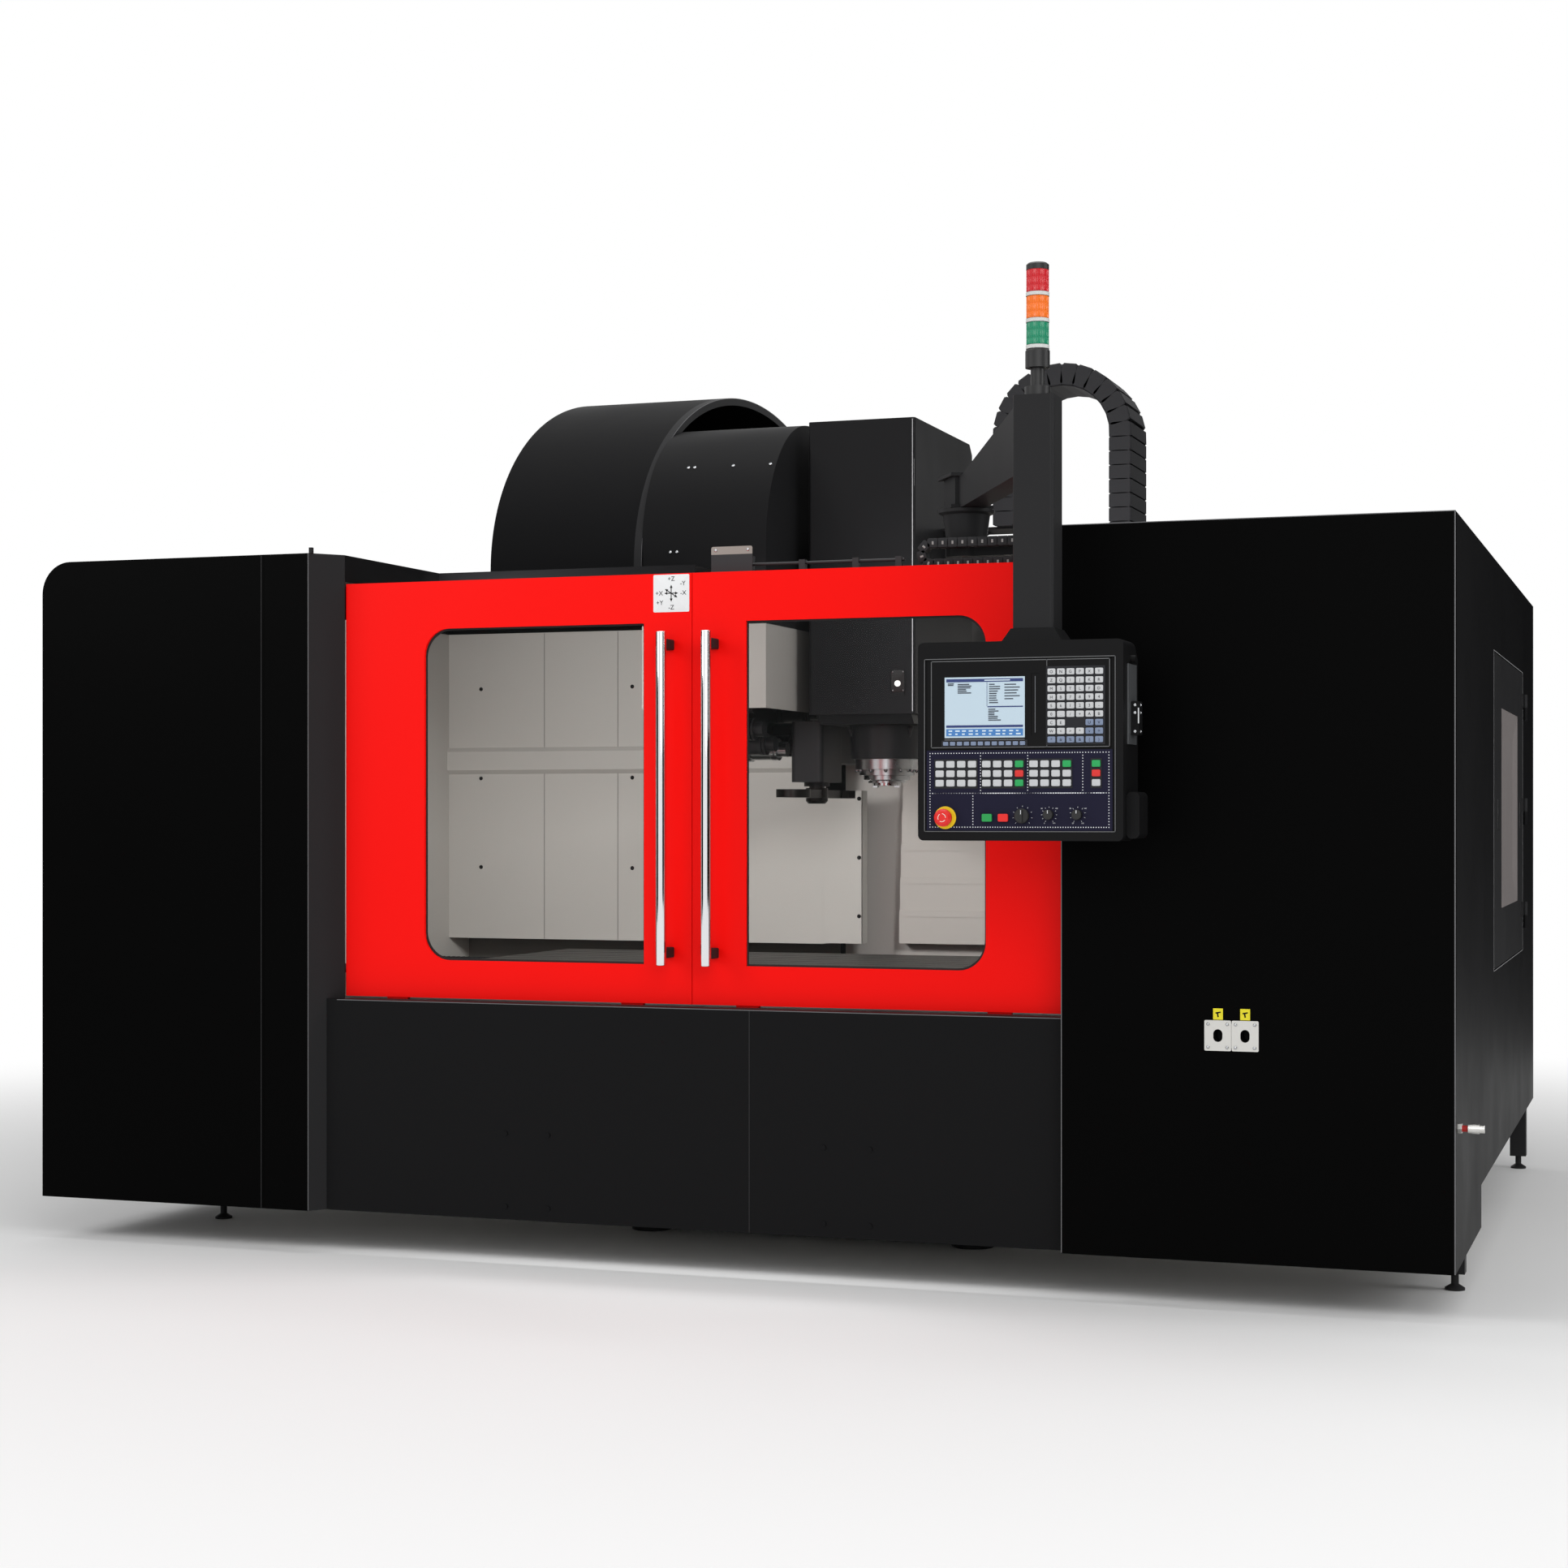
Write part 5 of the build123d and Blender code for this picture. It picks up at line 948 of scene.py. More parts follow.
class MACHINE_OT_keypads(bpy.types.Operator):
    """Keycaps on their mats, by colour, with plain legends"""

    bl_idname = "machine.keypads"
    bl_label = "Keypads"

    def execute(self, context):
        tones = {"light": "key", "blue": (120, 134, 160), "green": (30, 160, 84), "red": (214, 44, 40)}
        finishes = [enamel(name + " keys", tones[name], 0.4, 0.4, dust=0.1, peel=900.0) for name in tones]
        dark = enamel("key mat", (24, 25, 30), 0.55, 0.3, dust=0.1, peel=900.0)
        ink = enamel("legend ink", (18, 20, 30), 0.6, 0.1, dust=0.0)
        left, top, mat_depth = 1.012, 2.31, 0.008
        face = pendant_front() + mat_depth
        sunk, raised, ink_front = face - 0.009, face - 0.007, face - 0.0145
        grid = key_rows((left + 0.4675, top - 0.1065), (0.0325, 0.0285), 6, 9, ((2, 6), (3, 6)))
        tinted = (grid[:, 0] >= 4) & (grid[:, 1] >= 6) | (grid[:, 1] == 8)
        letter_cap, group_cap = (0.027, 0.021, 0.005), (0.029, 0.023, 0.006)
        lights, blues = [caps(grid[~tinted], *letter_cap, sunk)], [caps(grid[tinted], *letter_cap, sunk)]
        greens, reds = [], []
        mat_low, mat_high = face - 0.0095, face - 0.0075
        mats = [block((left + 0.448, mat_low, top - 0.352), (left + 0.65, mat_high, top - 0.088))]
        first, middle, single = 0.058, 0.222, 0.6
        for start, columns in ((first, 4), (middle, 4), (0.386, 4), (single, 1)):
            x, wide = left + start, 0.038
            mats.append(block((x, raised, top - 0.498), (x + wide * columns, face - 0.005, top - 0.398)))
            rows = key_rows((x + 0.0195, top - 0.4155), (wide, 0.032), columns, 3)
            last, row = rows[:, 0] == columns - 1, rows[:, 1]
            is_green = last & ((row == 0) & (start != first) | (row == 2) & (start == middle))
            is_red = last & (row == 1) & (start in (middle, single))
            for chosen, store in ((~(is_green | is_red), lights), (is_green, greens), (is_red, reds)):
                if chosen.any():
                    store.append(caps(rows[chosen], *group_cap, raised))
        mats.append(block((left + 0.084, mat_low, top - 0.356), (left + 0.384, mat_high, top - 0.334)))
        soft = key_rows((left + 0.099, top - 0.3455), (0.0244, 1), 12, 1)
        blues.append(caps(soft, 0.018, 0.013, 0.004, sunk))
        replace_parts(flat_piece("key_mats", mats, dark, "pendant"), "control_keys")
        for name, batch, finish in zip(tones, (lights, blues, greens, reds), finishes):
            piece(name + "_keycaps", batch, finish, "pendant")
        marks = "ONGPXYZQIJKRMSTLFDHB789456123-0./+ABCEUVW<>^v=*#%&()[]{}?:"
        entries = [(mark, 0.014, (x, ink_front, z - 0.001)) for mark, (_, _, x, z) in zip(marks, grid)]
        legends("key_legends", entries, ink, "pendant")
        return {"FINISHED"}


class MACHINE_OT_display(bpy.types.Operator):
    """The lit picture on the screen: a title bar, two lists, a position block and a row of tabs"""

    bl_idname = "machine.display"
    bl_label = "Display"

    def execute(self, context):
        low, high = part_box("control_screen")
        y, inset = low.y - 0.0006, 0.006
        x0, x1, z0, z1 = low.x + inset, high.x - inset, low.z + inset, high.z - inset
        wide, tall = x1 - x0, z1 - z0

        def area(left, bottom, right, top, step=1):
            """A thin plate over a part of the screen, given in shares of its width and height."""
            near = y - 0.0002 * step
            return block((x0 + left * wide, near, z0 + bottom * tall),
                         (x0 + right * wide, near + 0.00015, z0 + top * tall))

        navy, blue, pale, ink = (glow("picture " + name, colour, strength) for name, colour, strength in (
            ("navy", (30, 48, 104), 0.1), ("blue", (62, 116, 176), 0.15), ("pale", (196, 212, 222), 0.2),
            ("ink", (44, 52, 66), 0.05)))
        bars = [area(*sides) for sides in (
            (0, 0.945, 1, 1), (0, 0.15, 1, 0.19), (0.54, 0.5, 1, 0.52), (0.53, 0.52, 0.535, 0.94))]
        chance = np.random.default_rng(7)
        lines, words = [], []
        for store, left, right, bottom, top, count in (
            (lines, 0.15, 0.34, 0.74, 0.92, 6), (lines, 0.56, 0.72, 0.56, 0.92, 9),
            (lines, 0.76, 0.96, 0.62, 0.92, 6), (lines, 0.55, 0.72, 0.26, 0.48, 7),
            (lines, 0.02, 0.12, 0.88, 0.93, 2), (words, 0.5, 0.96, 0.955, 0.99, 1),
        ):
            for k in range(count):
                level = top - (top - bottom) * (k + 0.5) / count
                end = left + (right - left) * chance.uniform(0.45, 1.0)
                store.append(area(left, level - 0.009, end, level + 0.009, 2))
        for row in (0.035, 0.09):
            for k in range(11):
                left = 0.03 + 0.088 * k
                words.append(area(left, row - 0.012, left + chance.uniform(0.03, 0.065), row + 0.012, 2))
        for name, shapes, material in (
            ("picture_bars", bars, navy), ("picture_tabs", area(0, 0, 1, 0.125), blue),
            ("picture_lines", lines, ink), ("picture_words", words, pale),
        ):
            flat_piece(name, shapes, material, "pendant")
        return {"FINISHED"}


class MACHINE_OT_controls(bpy.types.Operator):
    """Yellow ring, dial scales, pointers, group borders, the screen's lips, outlines and the latch"""

    bl_idname = "machine.controls"
    bl_label = "Controls"

    def execute(self, context):
        white = enamel("print white", (226, 228, 232), 0.6, 0.2, dust=0.05, peel=900.0)
        self.ring()
        self.scales(white)
        self.borders(white)
        self.lips()
        self.outlines()
        self.latch()
        return {"FINISHED"}

    def ring(self):
        """A thin yellow ring turned from its profile, and three arcs on the stop button."""
        yellow = enamel("ring yellow", (236, 200, 24), 0.5, 0.35, dust=0.05, peel=700.0)
        stop = middle("emergency_stop")
        ring = lathe([(0.011, 0), (0.0375, 0), (0.0385, 0.0008), (0.0375, 0.0016), (0.011, 0.0016)], 48)
        piece("stop_ring", placed(ring, FRONT, (stop.x, pendant_front() - 0.001, stop.z)), yellow, "pendant")
        arcs = []
        for start in full_turn(3):
            span = start + np.linspace(0, 1.5, 12)
            unit = np.column_stack([np.cos(span), np.sin(span)])
            flat = np.concatenate([0.0125 * unit, 0.0145 * unit[::-1]])
            outline = np.column_stack([flat, np.full(len(flat), 0.0482)])
            arcs.append(placed(swept(outline, (0, 0, 0.0004)), FRONT, (stop.x, panel_front(), stop.z)))
        piece("stop_arrows", arcs, enamel("stop arrows", (240, 236, 226), 0.5, 0.3, dust=0.0), "stop_button")

    def scales(self, white):
        """Ticks on a circle round each knob: a tick stands at r (sin a, cos a), turned by a."""
        panel = panel_front()
        entries, ticks = [], []
        for node, body, count, sweep, reach, labels in (
            ("mode_dial", "dial", 9, 270.0, 0.031, ()),
            ("feed_knob", "feed", 11, 300.0, 0.0235, (0, 50, 100, 150)),
            ("speed_knob", "speed", 9, 300.0, 0.0235, (50, 80, 100, 120)),
        ):
            centre = middle(node)
            tick = block((-0.0006, reach, 0), (0.0006, reach + 0.004, 0.0003))
            angles = np.radians(np.linspace(-sweep / 2, sweep / 2, count))
            ticks += [placed(tick, spun(-angle), (centre.x, panel - 0.0003, centre.z)) for angle in angles]
            at = reach + 0.0095
            for angle, label in zip(np.linspace(angles[0], angles[-1], len(labels)), labels):
                place = (centre.x + at * math.sin(angle), panel - 0.0006, centre.z + at * math.cos(angle))
                entries.append((str(label), 0.006, place))
            pointer = block((-0.0011, reach * 0.18, 0), (0.0011, reach * 0.62, 0.0004))
            place = (centre.x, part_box(node)[0].y, centre.z)
            flat_piece(body + "_pointer", placed(pointer, FRONT, place), white, body)
        flat_piece("dial_ticks", ticks, white, "pendant")
        legends("dial_figures", entries, white, "pendant")

    def borders(self, white):
        """Rows of dots that frame the groups of keys and switches on the lower panel."""
        low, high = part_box("control_panels")
        inset, step, size = 0.012, 0.0085, 0.0016
        left, right, bottom, top, split = low.x + inset, high.x - inset, low.z + inset, 1.932, 1.796
        dots = []
        for x0, x1, z0, z1 in (
            (left, 1.232, split, top), (1.232, 1.396, split, top), (1.396, 1.585, split, top),
            (1.585, right, split, top), (left, 1.205, bottom, split), (1.205, right, bottom, split),
        ):
            for start, end in (((x0, z0), (x1, z0)), ((x0, z1), (x1, z1)),
                               ((x0, z0), (x0, z1)), ((x1, z0), (x1, z1))):
                share = np.linspace(0, 1, max(2, int(math.dist(start, end) / step)))[:, None]
                dots.append(np.array(start) * (1 - share) + np.array(end) * share)
        dots = np.unique(np.round(np.concatenate(dots), 4), axis=0)
        one = block((-size, -0.0003, -size), (size, 0, size))
        places = [(x, panel_front() - 0.00005, z) for x, z in dots]
        flat_piece("panel_dots", placed(one, UP, *places), white, "pendant")

    def lips(self):
        """The bright lips at the right of the screen and below it."""
        steel = metal("card lip", (120, 122, 126), (300.0, 300.0, 4.0), 0.3, 0.2)
        y = pendant_front() + 0.001
        strips = [block((1.4215, y - 0.0012, 2.0), (1.4235, y, 2.19)),
                  block((1.106, y - 0.0012, 1.9765), (1.386, y, 1.979))]
        flat_piece("screen_lips", strips, steel, "pendant")

    def outlines(self):
        """Thin pale lines round the sunk face, the display unit and its keys."""
        grey = enamel("outline grey", (98, 99, 100), 0.4, 0.3, dust=0.1, peel=500.0)
        front, wide = pendant_front(), 0.0026
        shapes = []
        for x0, x1, z0, z1, sunk in ((1.034, 1.697, 1.665, 2.254, 0.0), (1.058, 1.678, 1.95, 2.246, 0.001)):
            y0, y1 = front + sunk - 0.0006, front + sunk
            shapes += [
                block((x0, y0, z0), (x0 + wide, y1, z1)), block((x1 - wide, y0, z0), (x1, y1, z1)),
                block((x0, y0, z0), (x1, y1, z0 + wide)), block((x0, y0, z1 - wide), (x1, y1, z1)),
            ]
        shapes.append(block((1.4615, front + 0.0004, 1.95), (1.4635, front + 0.001, 2.246)))
        flat_piece("pendant_outlines", shapes, grey, "pendant")

    def latch(self):
        """Screws and the bright bar of the latch on the pendant's right side."""
        steel = metal("latch steel", (206, 208, 210), (300.0, 300.0, 4.0), 0.2, 0.2)
        x, y = 1.757, pendant_front() + 0.09
        screw = rounded_head(0.011, 0.003)
        heights = (2.003, 2.066, 2.092)
        front = placed(screw, FRONT, *[(x - 0.014, y, z) for z in heights])
        side = placed(screw, RIGHT, *[(x, y + 0.03, z) for z in heights])
        bar = block((x - 0.003, y - 0.0012, 2.03), (x + 0.0012, y + 0.006, 2.082))
        piece("latch_bar", [front, side, bar], steel, "pendant")


class MACHINE_OT_light_tower(bpy.types.Operator):
    """Three ribbed lenses, green, amber and red, between pale rings: radius r + ribs cos(36 t)"""

    bl_idname = "machine.light_tower"
    bl_label = "Light tower"

    def execute(self, context):
        low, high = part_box("stack_light_lenses")
        x, y = (low.x + high.x) / 2, (low.y + high.y) / 2
        radius, pitch, around, ribs = (high.x - low.x) / 2, 0.09, 144, 36
        turn = full_turn(around)
        levels = np.array([0, 0.004, 0.02, 0.022, 0.024, 0.048, 0.05, 0.052, 0.072, 0.076])
        swell = np.array([-0.001, 0, 0, -0.0012, 0, 0, -0.0012, 0, 0, -0.001])
        r = radius + swell[:, None] + 0.0006 * np.cos(ribs * turn)
        shades = {"green": (18, 132, 96), "amber": (236, 112, 16), "red": (196, 20, 32)}
        for k, (name, shade) in enumerate(shades.items()):
            lens = glow(name + " lens", shade, 0.06, 0.2)
            height = np.repeat((levels + low.z + k * pitch)[:, None], around, axis=1)
            points = np.stack([x + r * np.cos(turn), y + r * np.sin(turn), height], axis=-1).reshape(-1, 3)
            made = piece(name + "_lens", (points, grid_faces(len(levels), around)), lens, "boom")
            if name == "green":
                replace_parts(made, "stack_light_lenses")
        pale = enamel("light tower rings", (206, 208, 206), 0.4, 0.4, dust=0.05, peel=500.0)
        inner, outer = radius + 0.0002, radius + 0.0022
        ring = lathe([(inner, 0), (outer, 0.001), (outer, 0.0125), (inner, 0.0136)], 64)
        places = [(x, y, low.z + k * pitch - 0.0138) for k in range(3)]
        piece("light_tower_rings", placed(ring, UP, *places), pale, "boom")
        return {"FINISHED"}


class MACHINE_OT_trim(bpy.types.Operator):
    """Screws, the yellow hose tags, the axis plate, window rubbers and painted highlights on folded edges"""

    bl_idname = "machine.trim"
    bl_label = "Trim"

    def execute(self, context):
        self.screws()
        self.tags()
        self.axis_plate()
        self.seals()
        self.edges()
        return {"FINISHED"}

    def screws(self):
        """Button heads, on the changer cover square to its curve: out = (0, -cos a, sin a)."""
        steel = metal("screw steel", (196, 198, 200), (400.0, 400.0, 400.0), 0.22, 0.2)
        size = sizes().screw
        head = rounded_head(size, size * 0.35)
        low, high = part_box("changer_cover")
        radius, rise = 0.6, 0.376
        angle = math.asin(rise / radius)
        c, s = math.cos(angle), math.sin(angle)
        slope = np.array([(1, 0, 0), (0, s, c), (0, -c, s)])
        y, z = low.y + radius * (1 - c), high.z - radius + rise
        upper = placed(head, slope, *[(x, y, z) for x in (-0.629, -0.6, -0.421, -0.25)])
        lower = placed(head, FRONT, *[(x, low.y, 2.856) for x in (-0.661, -0.631)])
        piece("cover_screws", [upper, lower], steel, "enclosure")
        low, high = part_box("gun_sockets")
        x, z = (low.x + high.x) / 2, (low.z + high.z) / 2
        small = [(0.022, -1.709, 2.722), (0.151, -1.709, 2.722)]
        small += [(x + middle + dx, low.y, z + dz) for middle in (-0.0475, 0.0475)
                  for dx in (-0.033, 0.033) for dz in (-0.04, 0.04)]
        piece("plate_screws", placed(rounded_head(0.012, 0.004), FRONT, *small), steel, "enclosure")
        black = enamel("black screws", (22, 22, 23), 0.35, 0.5, dust=0.0)
        wall, flange = 1.0555, 1.0495
        seen = [(x, wall, z) for x in (-1.471, 0.92, 1.6, 2.2, -2.3) for z in (1.46, 1.909, 2.361)]
        seen += [(-0.288, flange, z) for z in (1.236, 1.518, 1.802)]
        piece("guard_screws", placed(rounded_head(0.02, 0.006), FRONT, *seen), black, "enclosure")

    def tags(self):
        """A yellow tag over each socket plate, with a plain mark like a spray gun."""
        yellow = enamel("tag yellow", (226, 214, 40), 0.45, 0.3, dust=0.05, peel=600.0)
        ink = enamel("tag ink", (20, 20, 18), 0.6, 0.1, dust=0.0)
        low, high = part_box("gun_sockets")
        face, z = low.y + 0.007, high.z + 0.0215
        half_wide, half_tall, thick = 0.017, 0.0195, 0.0012
        gun = np.array([(-0.009, 0.006), (0.009, 0.009), (0.010, 0.005), (0.001, 0.002), (0.003, -0.010),
                        (-0.002, -0.011), (-0.004, 0.001), (-0.009, 0.002)])
        sheets, marks = [], []
        for side in (-0.047, 0.047):
            x = (low.x + high.x) / 2 + side
            corner = (x - half_wide, face - thick, z - half_tall)
            sheets.append(block(corner, (x + half_wide, face, z + half_tall)))
            outline = np.column_stack([x + gun[:, 0], np.full(len(gun), face - 0.0014), z + gun[:, 1]])
            marks.append(swept(outline, (0, 0.0002, 0)))
        flat_piece("hose_tags", sheets, yellow, "enclosure")
        flat_piece("hose_tag_marks", marks, ink, "enclosure")

    def axis_plate(self):
        """A white plate with the three axes as crossed arrows."""
        white = enamel("plate white", (236, 237, 238), 0.35, 0.35, dust=0.02, peel=500.0)
        ink = enamel("plate ink", (26, 26, 28), 0.55, 0.2, dust=0.0)
        face, x, z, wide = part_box("left_door")[0].y, -0.138, 2.561, 0.142
        slab = pillow(wide + 0.004, wide, 0.0015, corner=40.0, around=40)
        piece("axis_plate", placed(slab, FRONT, (x, face, z)), white, "left_door")
        y, thick = face - 0.0018, 0.0003
        bars, tips = [], []
        for degrees, reach in ((0, 0.028), (90, 0.032), (-33, 0.03)):
            turned = spun(math.radians(degrees))
            bar = block((-reach + 0.008, -0.0016, 0), (reach - 0.008, 0.0016, thick))
            bars.append(placed(bar, turned, (x, y, z)))
            for end in (-1, 1):
                base = end * (reach - 0.012)
                tip = np.array([(end * reach, 0, 0), (base, 0.0055, 0), (base, -0.0055, 0)])
                tips.append(placed(swept(tip, (0, 0, thick)), turned, (x, y, z)))
        flat_piece("axis_arrows", bars, ink, "left_door")
        flat_piece("axis_arrow_tips", tips, ink, "left_door")
        entries = [
            ("+X", -0.049, 0.0), ("-X", 0.049, 0.0), ("+Z", 0.0, 0.054), ("-Z", 0.0, -0.054),
            ("+Y", -0.047, -0.036), ("-Y", 0.047, 0.036),
        ]
        letters = [(word, 0.024, (x + u, y - thick, z + v)) for word, u, v in entries]
        legends("axis_letters", letters, ink, "left_door")

    def seals(self):
        """A rubber lip inside each window opening, following its rounded outer corners."""
        rubber = enamel("seal rubber", (26, 26, 27), 0.6, 0.3, dust=0.1, peel=800.0)
        bottom, top, corner, back, front = 1.156, 2.45, 0.105, -1.7452, -1.7475
        arc = np.linspace(0, math.pi / 2, 10)
        rise, fall = corner * (1 - np.sin(arc)), corner * (1 - np.cos(arc))
        for side, inner, outer in (("left", -0.25, -1.177), ("right", 0.162, 1.089)):
            way = 1 if outer > inner else -1
            high = np.stack([outer - way * rise, top - fall], axis=-1)
            low = np.stack([outer - way * fall, bottom + rise], axis=-1)
            path = np.concatenate([[(inner, bottom), (inner, top)], high, low])
            centre = np.array([(inner + outer) / 2, (bottom + top) / 2])
            half = np.array([abs(inner - outer), top - bottom]) / 2
            grown = centre + (path - centre) * (1 - sizes().seal / half)
            rings = [np.column_stack([ring[:, 0], np.full(len(ring), y), ring[:, 1]]) for ring, y in (
                (path, back), (path, front), (grown, front + 0.0008), (grown, back), (path, back))]
            shape = np.concatenate(rings), grid_faces(len(rings), len(path))
            piece(side + "_window_seal", shape, rubber, side + "_door")

    def edges(self):
        """Painted highlights where light would catch a fold: slim strips on the folds."""
        # The grey finish below is a painted highlight, for the folds of the wings, opening, apron and the
        # hood's arch.
        painted_highlight = enamel("worn edge", (96, 96, 98), 0.35, 0.5, dust=0.2, peel=400.0)
        # The pale finish below is a painted highlight, for the side door's edges and the head cover's rounded
        # edge.
        pale = enamel("pale edge", (150, 150, 152), 0.3, 0.5, dust=0.2, peel=400.0)
        w, thin = sizes().edge, 0.0006
        front, apron, post, opening, right, wall = -1.89, -1.83, -1.617, 1.398, 2.756, 2.7566
        low, high, top = 0.172, 2.748, 2.7502
        strips = [
            block((post - w, front - thin, low), (post, front, high)),
            block((opening, front - thin, low), (opening + w, front, high)),
            block((right - w, front - thin, low), (wall, front, high)),
            block((right, front, low), (wall, front + w, high)),
            block((opening, front - thin, top - w), (right, front, top)),
            block((-1.524, apron - thin, 0.9985 - w), (1.397, apron, 0.9985)),
        ]
        flat_piece("fold_lines", strips, painted_highlight, "enclosure")
        # Pale lines round the side door: painted highlights on its edges.
        x0, x1, y0, y1, z0, z1 = 2.7558, 2.7566, -0.16, 1.62, 1.1, 2.38
        lips = [
            block((x0, y0 - w, z0 - w), (x1, y0, z1 + w)), block((x0, y1, z0 - w), (x1, y1 + w, z1 + w)),
            block((x0, y0, z1), (x1, y1, z1 + w)), block((x0, y0, z0 - w), (x1, y1, z0)),
        ]
        flat_piece("side_door_lines", lips, pale, "enclosure")
        bright = metal("pull steel", (214, 215, 216), (300.0, 300.0, 4.0), 0.18, 0.2)
        pulls = [block((2.7518, y - 0.0058, 1.664), (2.7546, y + 0.0058, 1.786)) for y in (0.09, 1.45)]
        flat_piece("side_pulls", pulls, bright, "side_door")
        grey = enamel("seam grey", (52, 52, 53), 0.4, 0.2, dust=0.0, peel=400.0)
        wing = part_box("left_front_panel")
        seams = [
            block((-1.829, front - thin, wing[0].z + 0.002), (-1.827, front, wing[1].z - 0.002)),
            block((0.2, apron - thin, low), (0.202, apron, 0.9955)),
        ]
        flat_piece("sheet_seams", seams, grey, "enclosure")
        self.hood_line(painted_highlight, w, thin)
        # A pale line down the head cover's rounded front edge: a painted highlight.
        corner = block((0.33, -0.1402, 2.17), (0.3335, -0.1396, 3.43))
        flat_piece("head_cover_line", corner, pale, "head")

    def hood_line(self, material, wide, thin):
        """A painted highlight strip along the hood's arch, (centre + a cos t, spring + rise sin t), drawn a
        little inwards.
        """
        low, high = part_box("magazine_hood")
        spring, rise, foot, count = 2.8, 0.92, 2.752, 80
        half, centre = (high.y - low.y) / 2, (high.y + low.y) / 2
        turn = np.linspace(math.pi, 0, count)
        arch = np.column_stack([np.zeros(count), centre + half * np.cos(turn), spring + rise * np.sin(turn)])
        arch = np.concatenate([[[0, low.y, foot]], arch, [[0, high.y, foot]]]) + [high.x, 0, 0]
        shrink = 0.0026
        inward = arch * [1, 1 - shrink, 1] + [0, centre * shrink, -wide]
        proud = [thin, 0, 0]
        points = np.stack([arch + proud, inward + proud, inward, arch], axis=1).reshape(-1, 3)
        piece("hood_line", (points, grid_faces(len(arch), 4)), material, "enclosure")


SPINDLE = np.array([0.1, 0.24, 0.0])


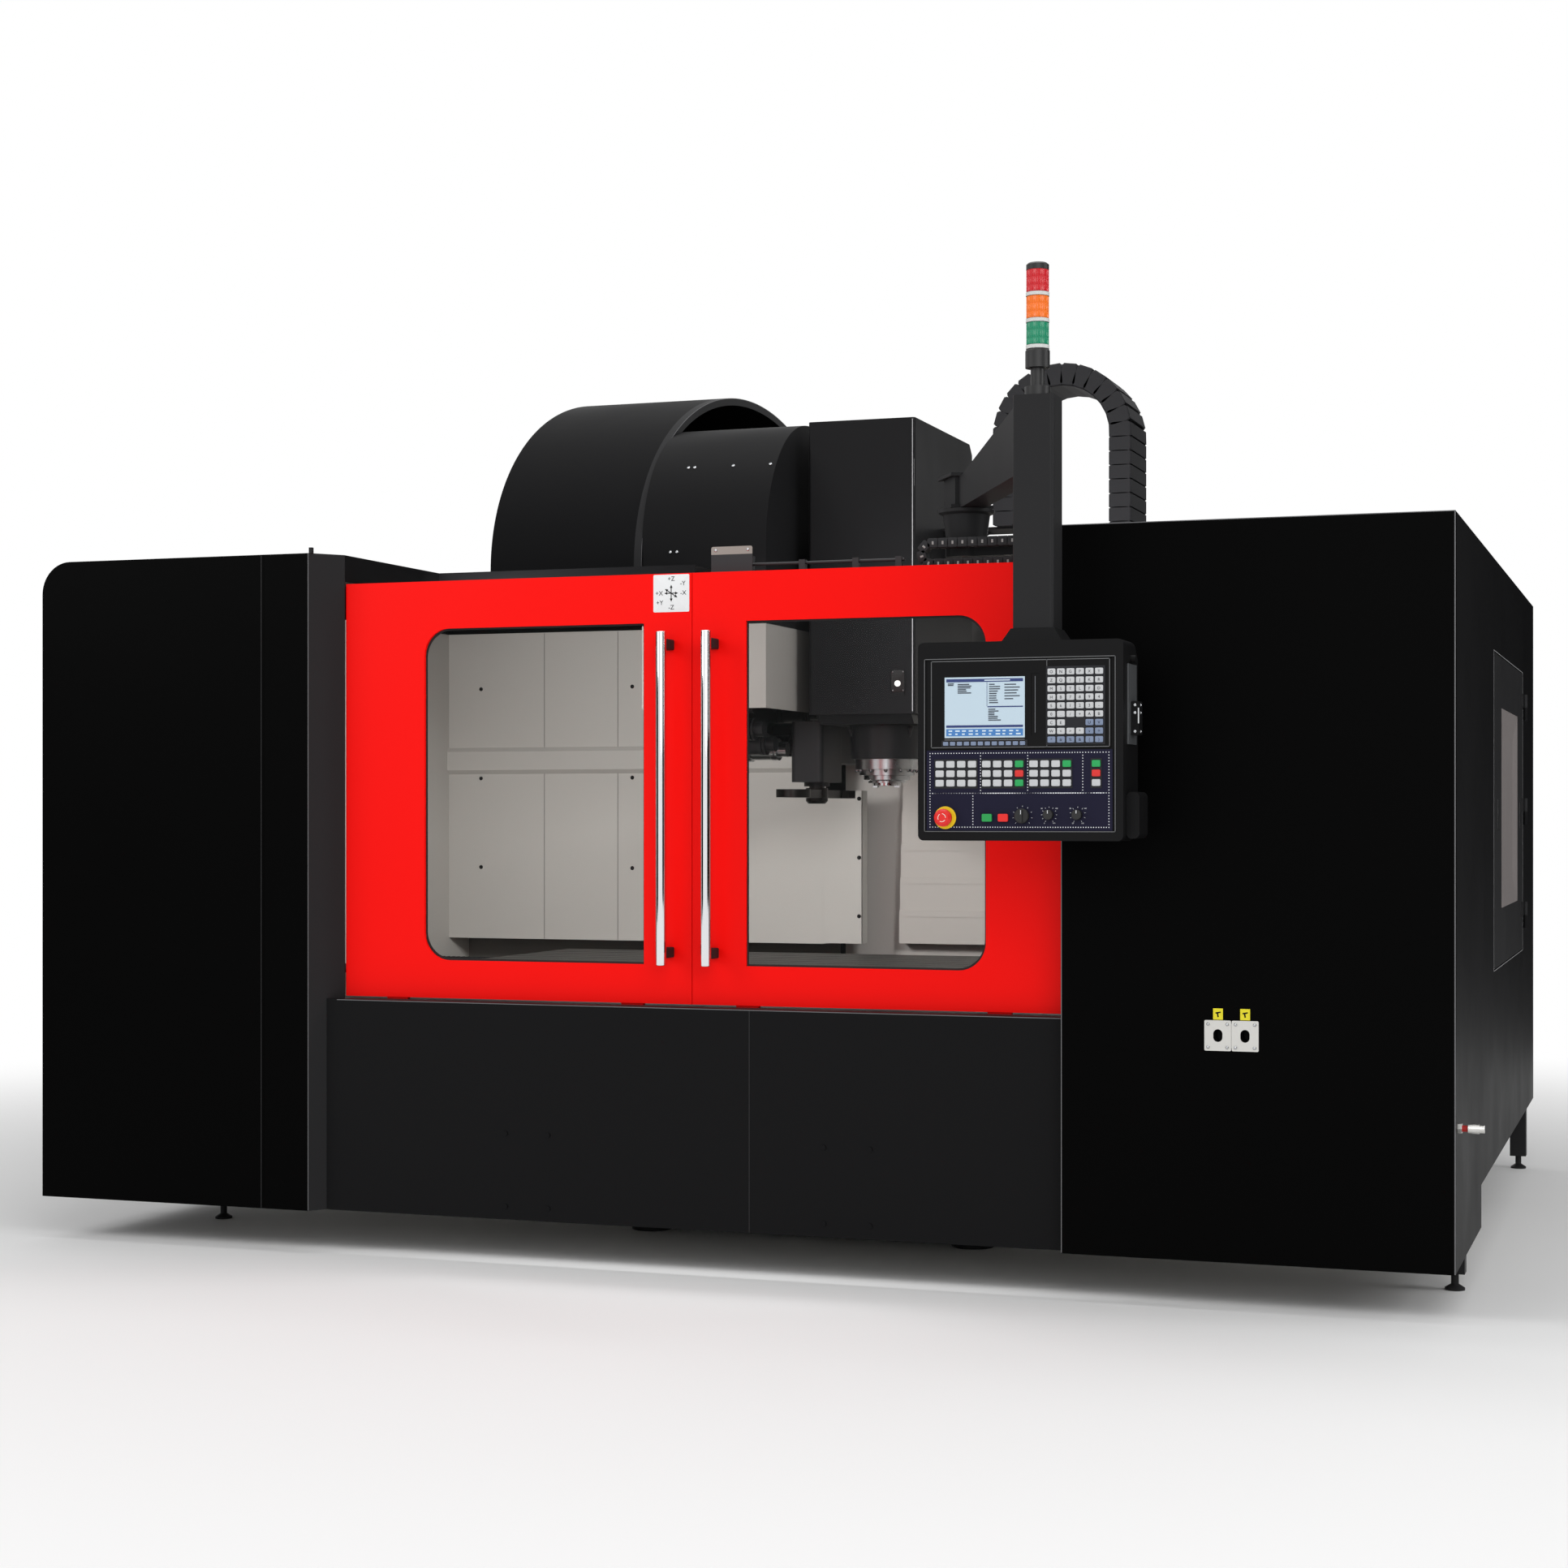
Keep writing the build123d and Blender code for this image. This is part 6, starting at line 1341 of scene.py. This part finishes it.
class MACHINE_OT_inside(bpy.types.Operator):
    """Coolant nozzles and bolts round the spindle, the head's switch plate, wall seams and a flange"""

    bl_idname = "machine.inside"
    bl_label = "Inside"

    def execute(self, context):
        steel = metal("nozzle steel", (176, 178, 180), (300.0, 300.0, 300.0), 0.25, 0.2)
        self.nozzles(steel)
        self.switch_plate(steel)
        self.bolts(steel)
        self.walls()
        return {"FINISHED"}

    def nozzles(self, steel):
        """Hoses aimed at the tool: circles square to the line of aim, with a radius that swells in rings."""
        black = enamel("nozzle black", (22, 22, 23), 0.4, 0.4, dust=0.05)
        reach = 0.15
        hose = np.linspace(0, reach, 31)
        around = 16
        turn = full_turn(around)[:, None]
        for name, material, length, radius in (
            ("nozzle_hoses", black, hose, 0.0075 + 0.0016 * np.abs(np.sin(hose / reach * math.pi * 6))),
            ("nozzle_tips", steel, np.array([reach, 0.16, 0.19]), np.array([0.0095, 0.0095, 0.004])),
        ):
            shapes = []
            for angle in np.radians((215, 325)):
                at = SPINDLE + [0.18 * math.cos(angle), 0.18 * math.sin(angle), 2.118]
                aim = SPINDLE + [0, 0, 1.72] - at
                aim /= np.linalg.norm(aim)
                side = np.cross(aim, [0, 0, 1.0])
                side /= np.linalg.norm(side)
                ring = np.cos(turn) * side + np.sin(turn) * np.cross(aim, side)
                points = at + length[:, None, None] * aim + radius[:, None, None] * ring[None]
                shapes.append((points.reshape(-1, 3), grid_faces(len(length), around)))
            piece(name, shapes, material, "head")

    def switch_plate(self, steel):
        """A small black plate behind the head's white button: soft-edged slab, four screws at its corners."""
        black = enamel("switch plate black", (12, 12, 12), 0.3, 0.5, dust=0.02)
        low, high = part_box("unclamp_button")
        x, y, z = (low.x + high.x) / 2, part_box("head_cover")[0].y, (low.z + high.z) / 2 + 0.01
        piece("switch_plate", placed(pillow(0.06, 0.096, 0.0025), FRONT, (x, y, z)), black, "head")
        corners = [(x + dx, y - 0.0024, z + dz) for dx in (-0.023, 0.023) for dz in (-0.04, 0.04)]
        piece("switch_screws", placed(rounded_head(0.006, 0.0015), FRONT, *corners), steel, "head")

    def bolts(self, steel):
        """Twelve heads on a circle under the spindle's housing: (r cos t, r sin t)."""
        turn = np.radians(np.arange(12) * 30.0 + 15)
        circle, z = 0.1335, 1.9242
        places = SPINDLE + np.column_stack([circle * np.cos(turn), circle * np.sin(turn), np.full(12, z)])
        piece("housing_bolts", placed(rounded_head(0.018, 0.012), DOWN, *places), steel, "head")

    def walls(self):
        """Thin upright strips where the rear guards meet, and a folded flange beside the magazine."""
        seam = enamel("wall seam", (120, 118, 114), 0.5, 0.3)
        wall = 1.0555
        low, high = (0, wall - 0.0008, 1.102), (0.003, wall, 2.636)
        seams = [placed(block(low, high), UP, (x, 0, 0)) for x in (-1.95, -1.55, 1.25, 1.9)]
        flat_piece("wall_seams", seams, seam, "enclosure")
        inner = enamel("flange enamel", "inside", 0.5, 0.1, dust=0.03, depth=0.00006)
        left, right, low, high, front = -0.47, -0.274, 1.104, 1.84, wall - 0.006
        flange = block((left, front, low), (right, wall - 0.0005, high))
        fold = block((right - 0.002, front, low), (right, wall + 0.08, high))
        flat_piece("wall_flange", [flange, fold], inner, "enclosure")


STEPS = [
    MACHINE_OT_stage,
    MACHINE_OT_enclosure,
    MACHINE_OT_doors,
    MACHINE_OT_machine,
    MACHINE_OT_pendant,
    MACHINE_OT_fittings,
    MACHINE_OT_chains,
    MACHINE_OT_covers,
    MACHINE_OT_keypads,
    MACHINE_OT_display,
    MACHINE_OT_controls,
    MACHINE_OT_light_tower,
    MACHINE_OT_trim,
    MACHINE_OT_inside,
]


class MACHINE_PT_panel(bpy.types.Panel):
    """Lists the machine's pieces in the order they are made"""

    bl_idname = "MACHINE_PT_panel"
    bl_label = "Machining Center"
    bl_space_type = "VIEW_3D"
    bl_region_type = "UI"
    bl_category = "Machine"

    def draw(self, context):
        for step in STEPS:
            self.layout.operator(step.bl_idname, text=step.bl_label)
        for group in (context.scene.machine_colours, context.scene.machine_sizes):
            for label in group.__annotations__:
                self.layout.prop(group, label)


CLASSES = [MachineColours, MachineSizes, *STEPS, MACHINE_PT_panel]


def register():
    for one in CLASSES:
        bpy.utils.register_class(one)
    bpy.types.Scene.machine_colours = bpy.props.PointerProperty(type=MachineColours)
    bpy.types.Scene.machine_sizes = bpy.props.PointerProperty(type=MachineSizes)


def unregister():
    del bpy.types.Scene.machine_sizes
    del bpy.types.Scene.machine_colours
    for one in reversed(CLASSES):
        bpy.utils.unregister_class(one)


def main():
    register()
    for step in STEPS:
        group, name = step.bl_idname.split(".")
        getattr(getattr(bpy.ops, group), name)()
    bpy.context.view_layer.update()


if __name__ == "__main__":
    main()
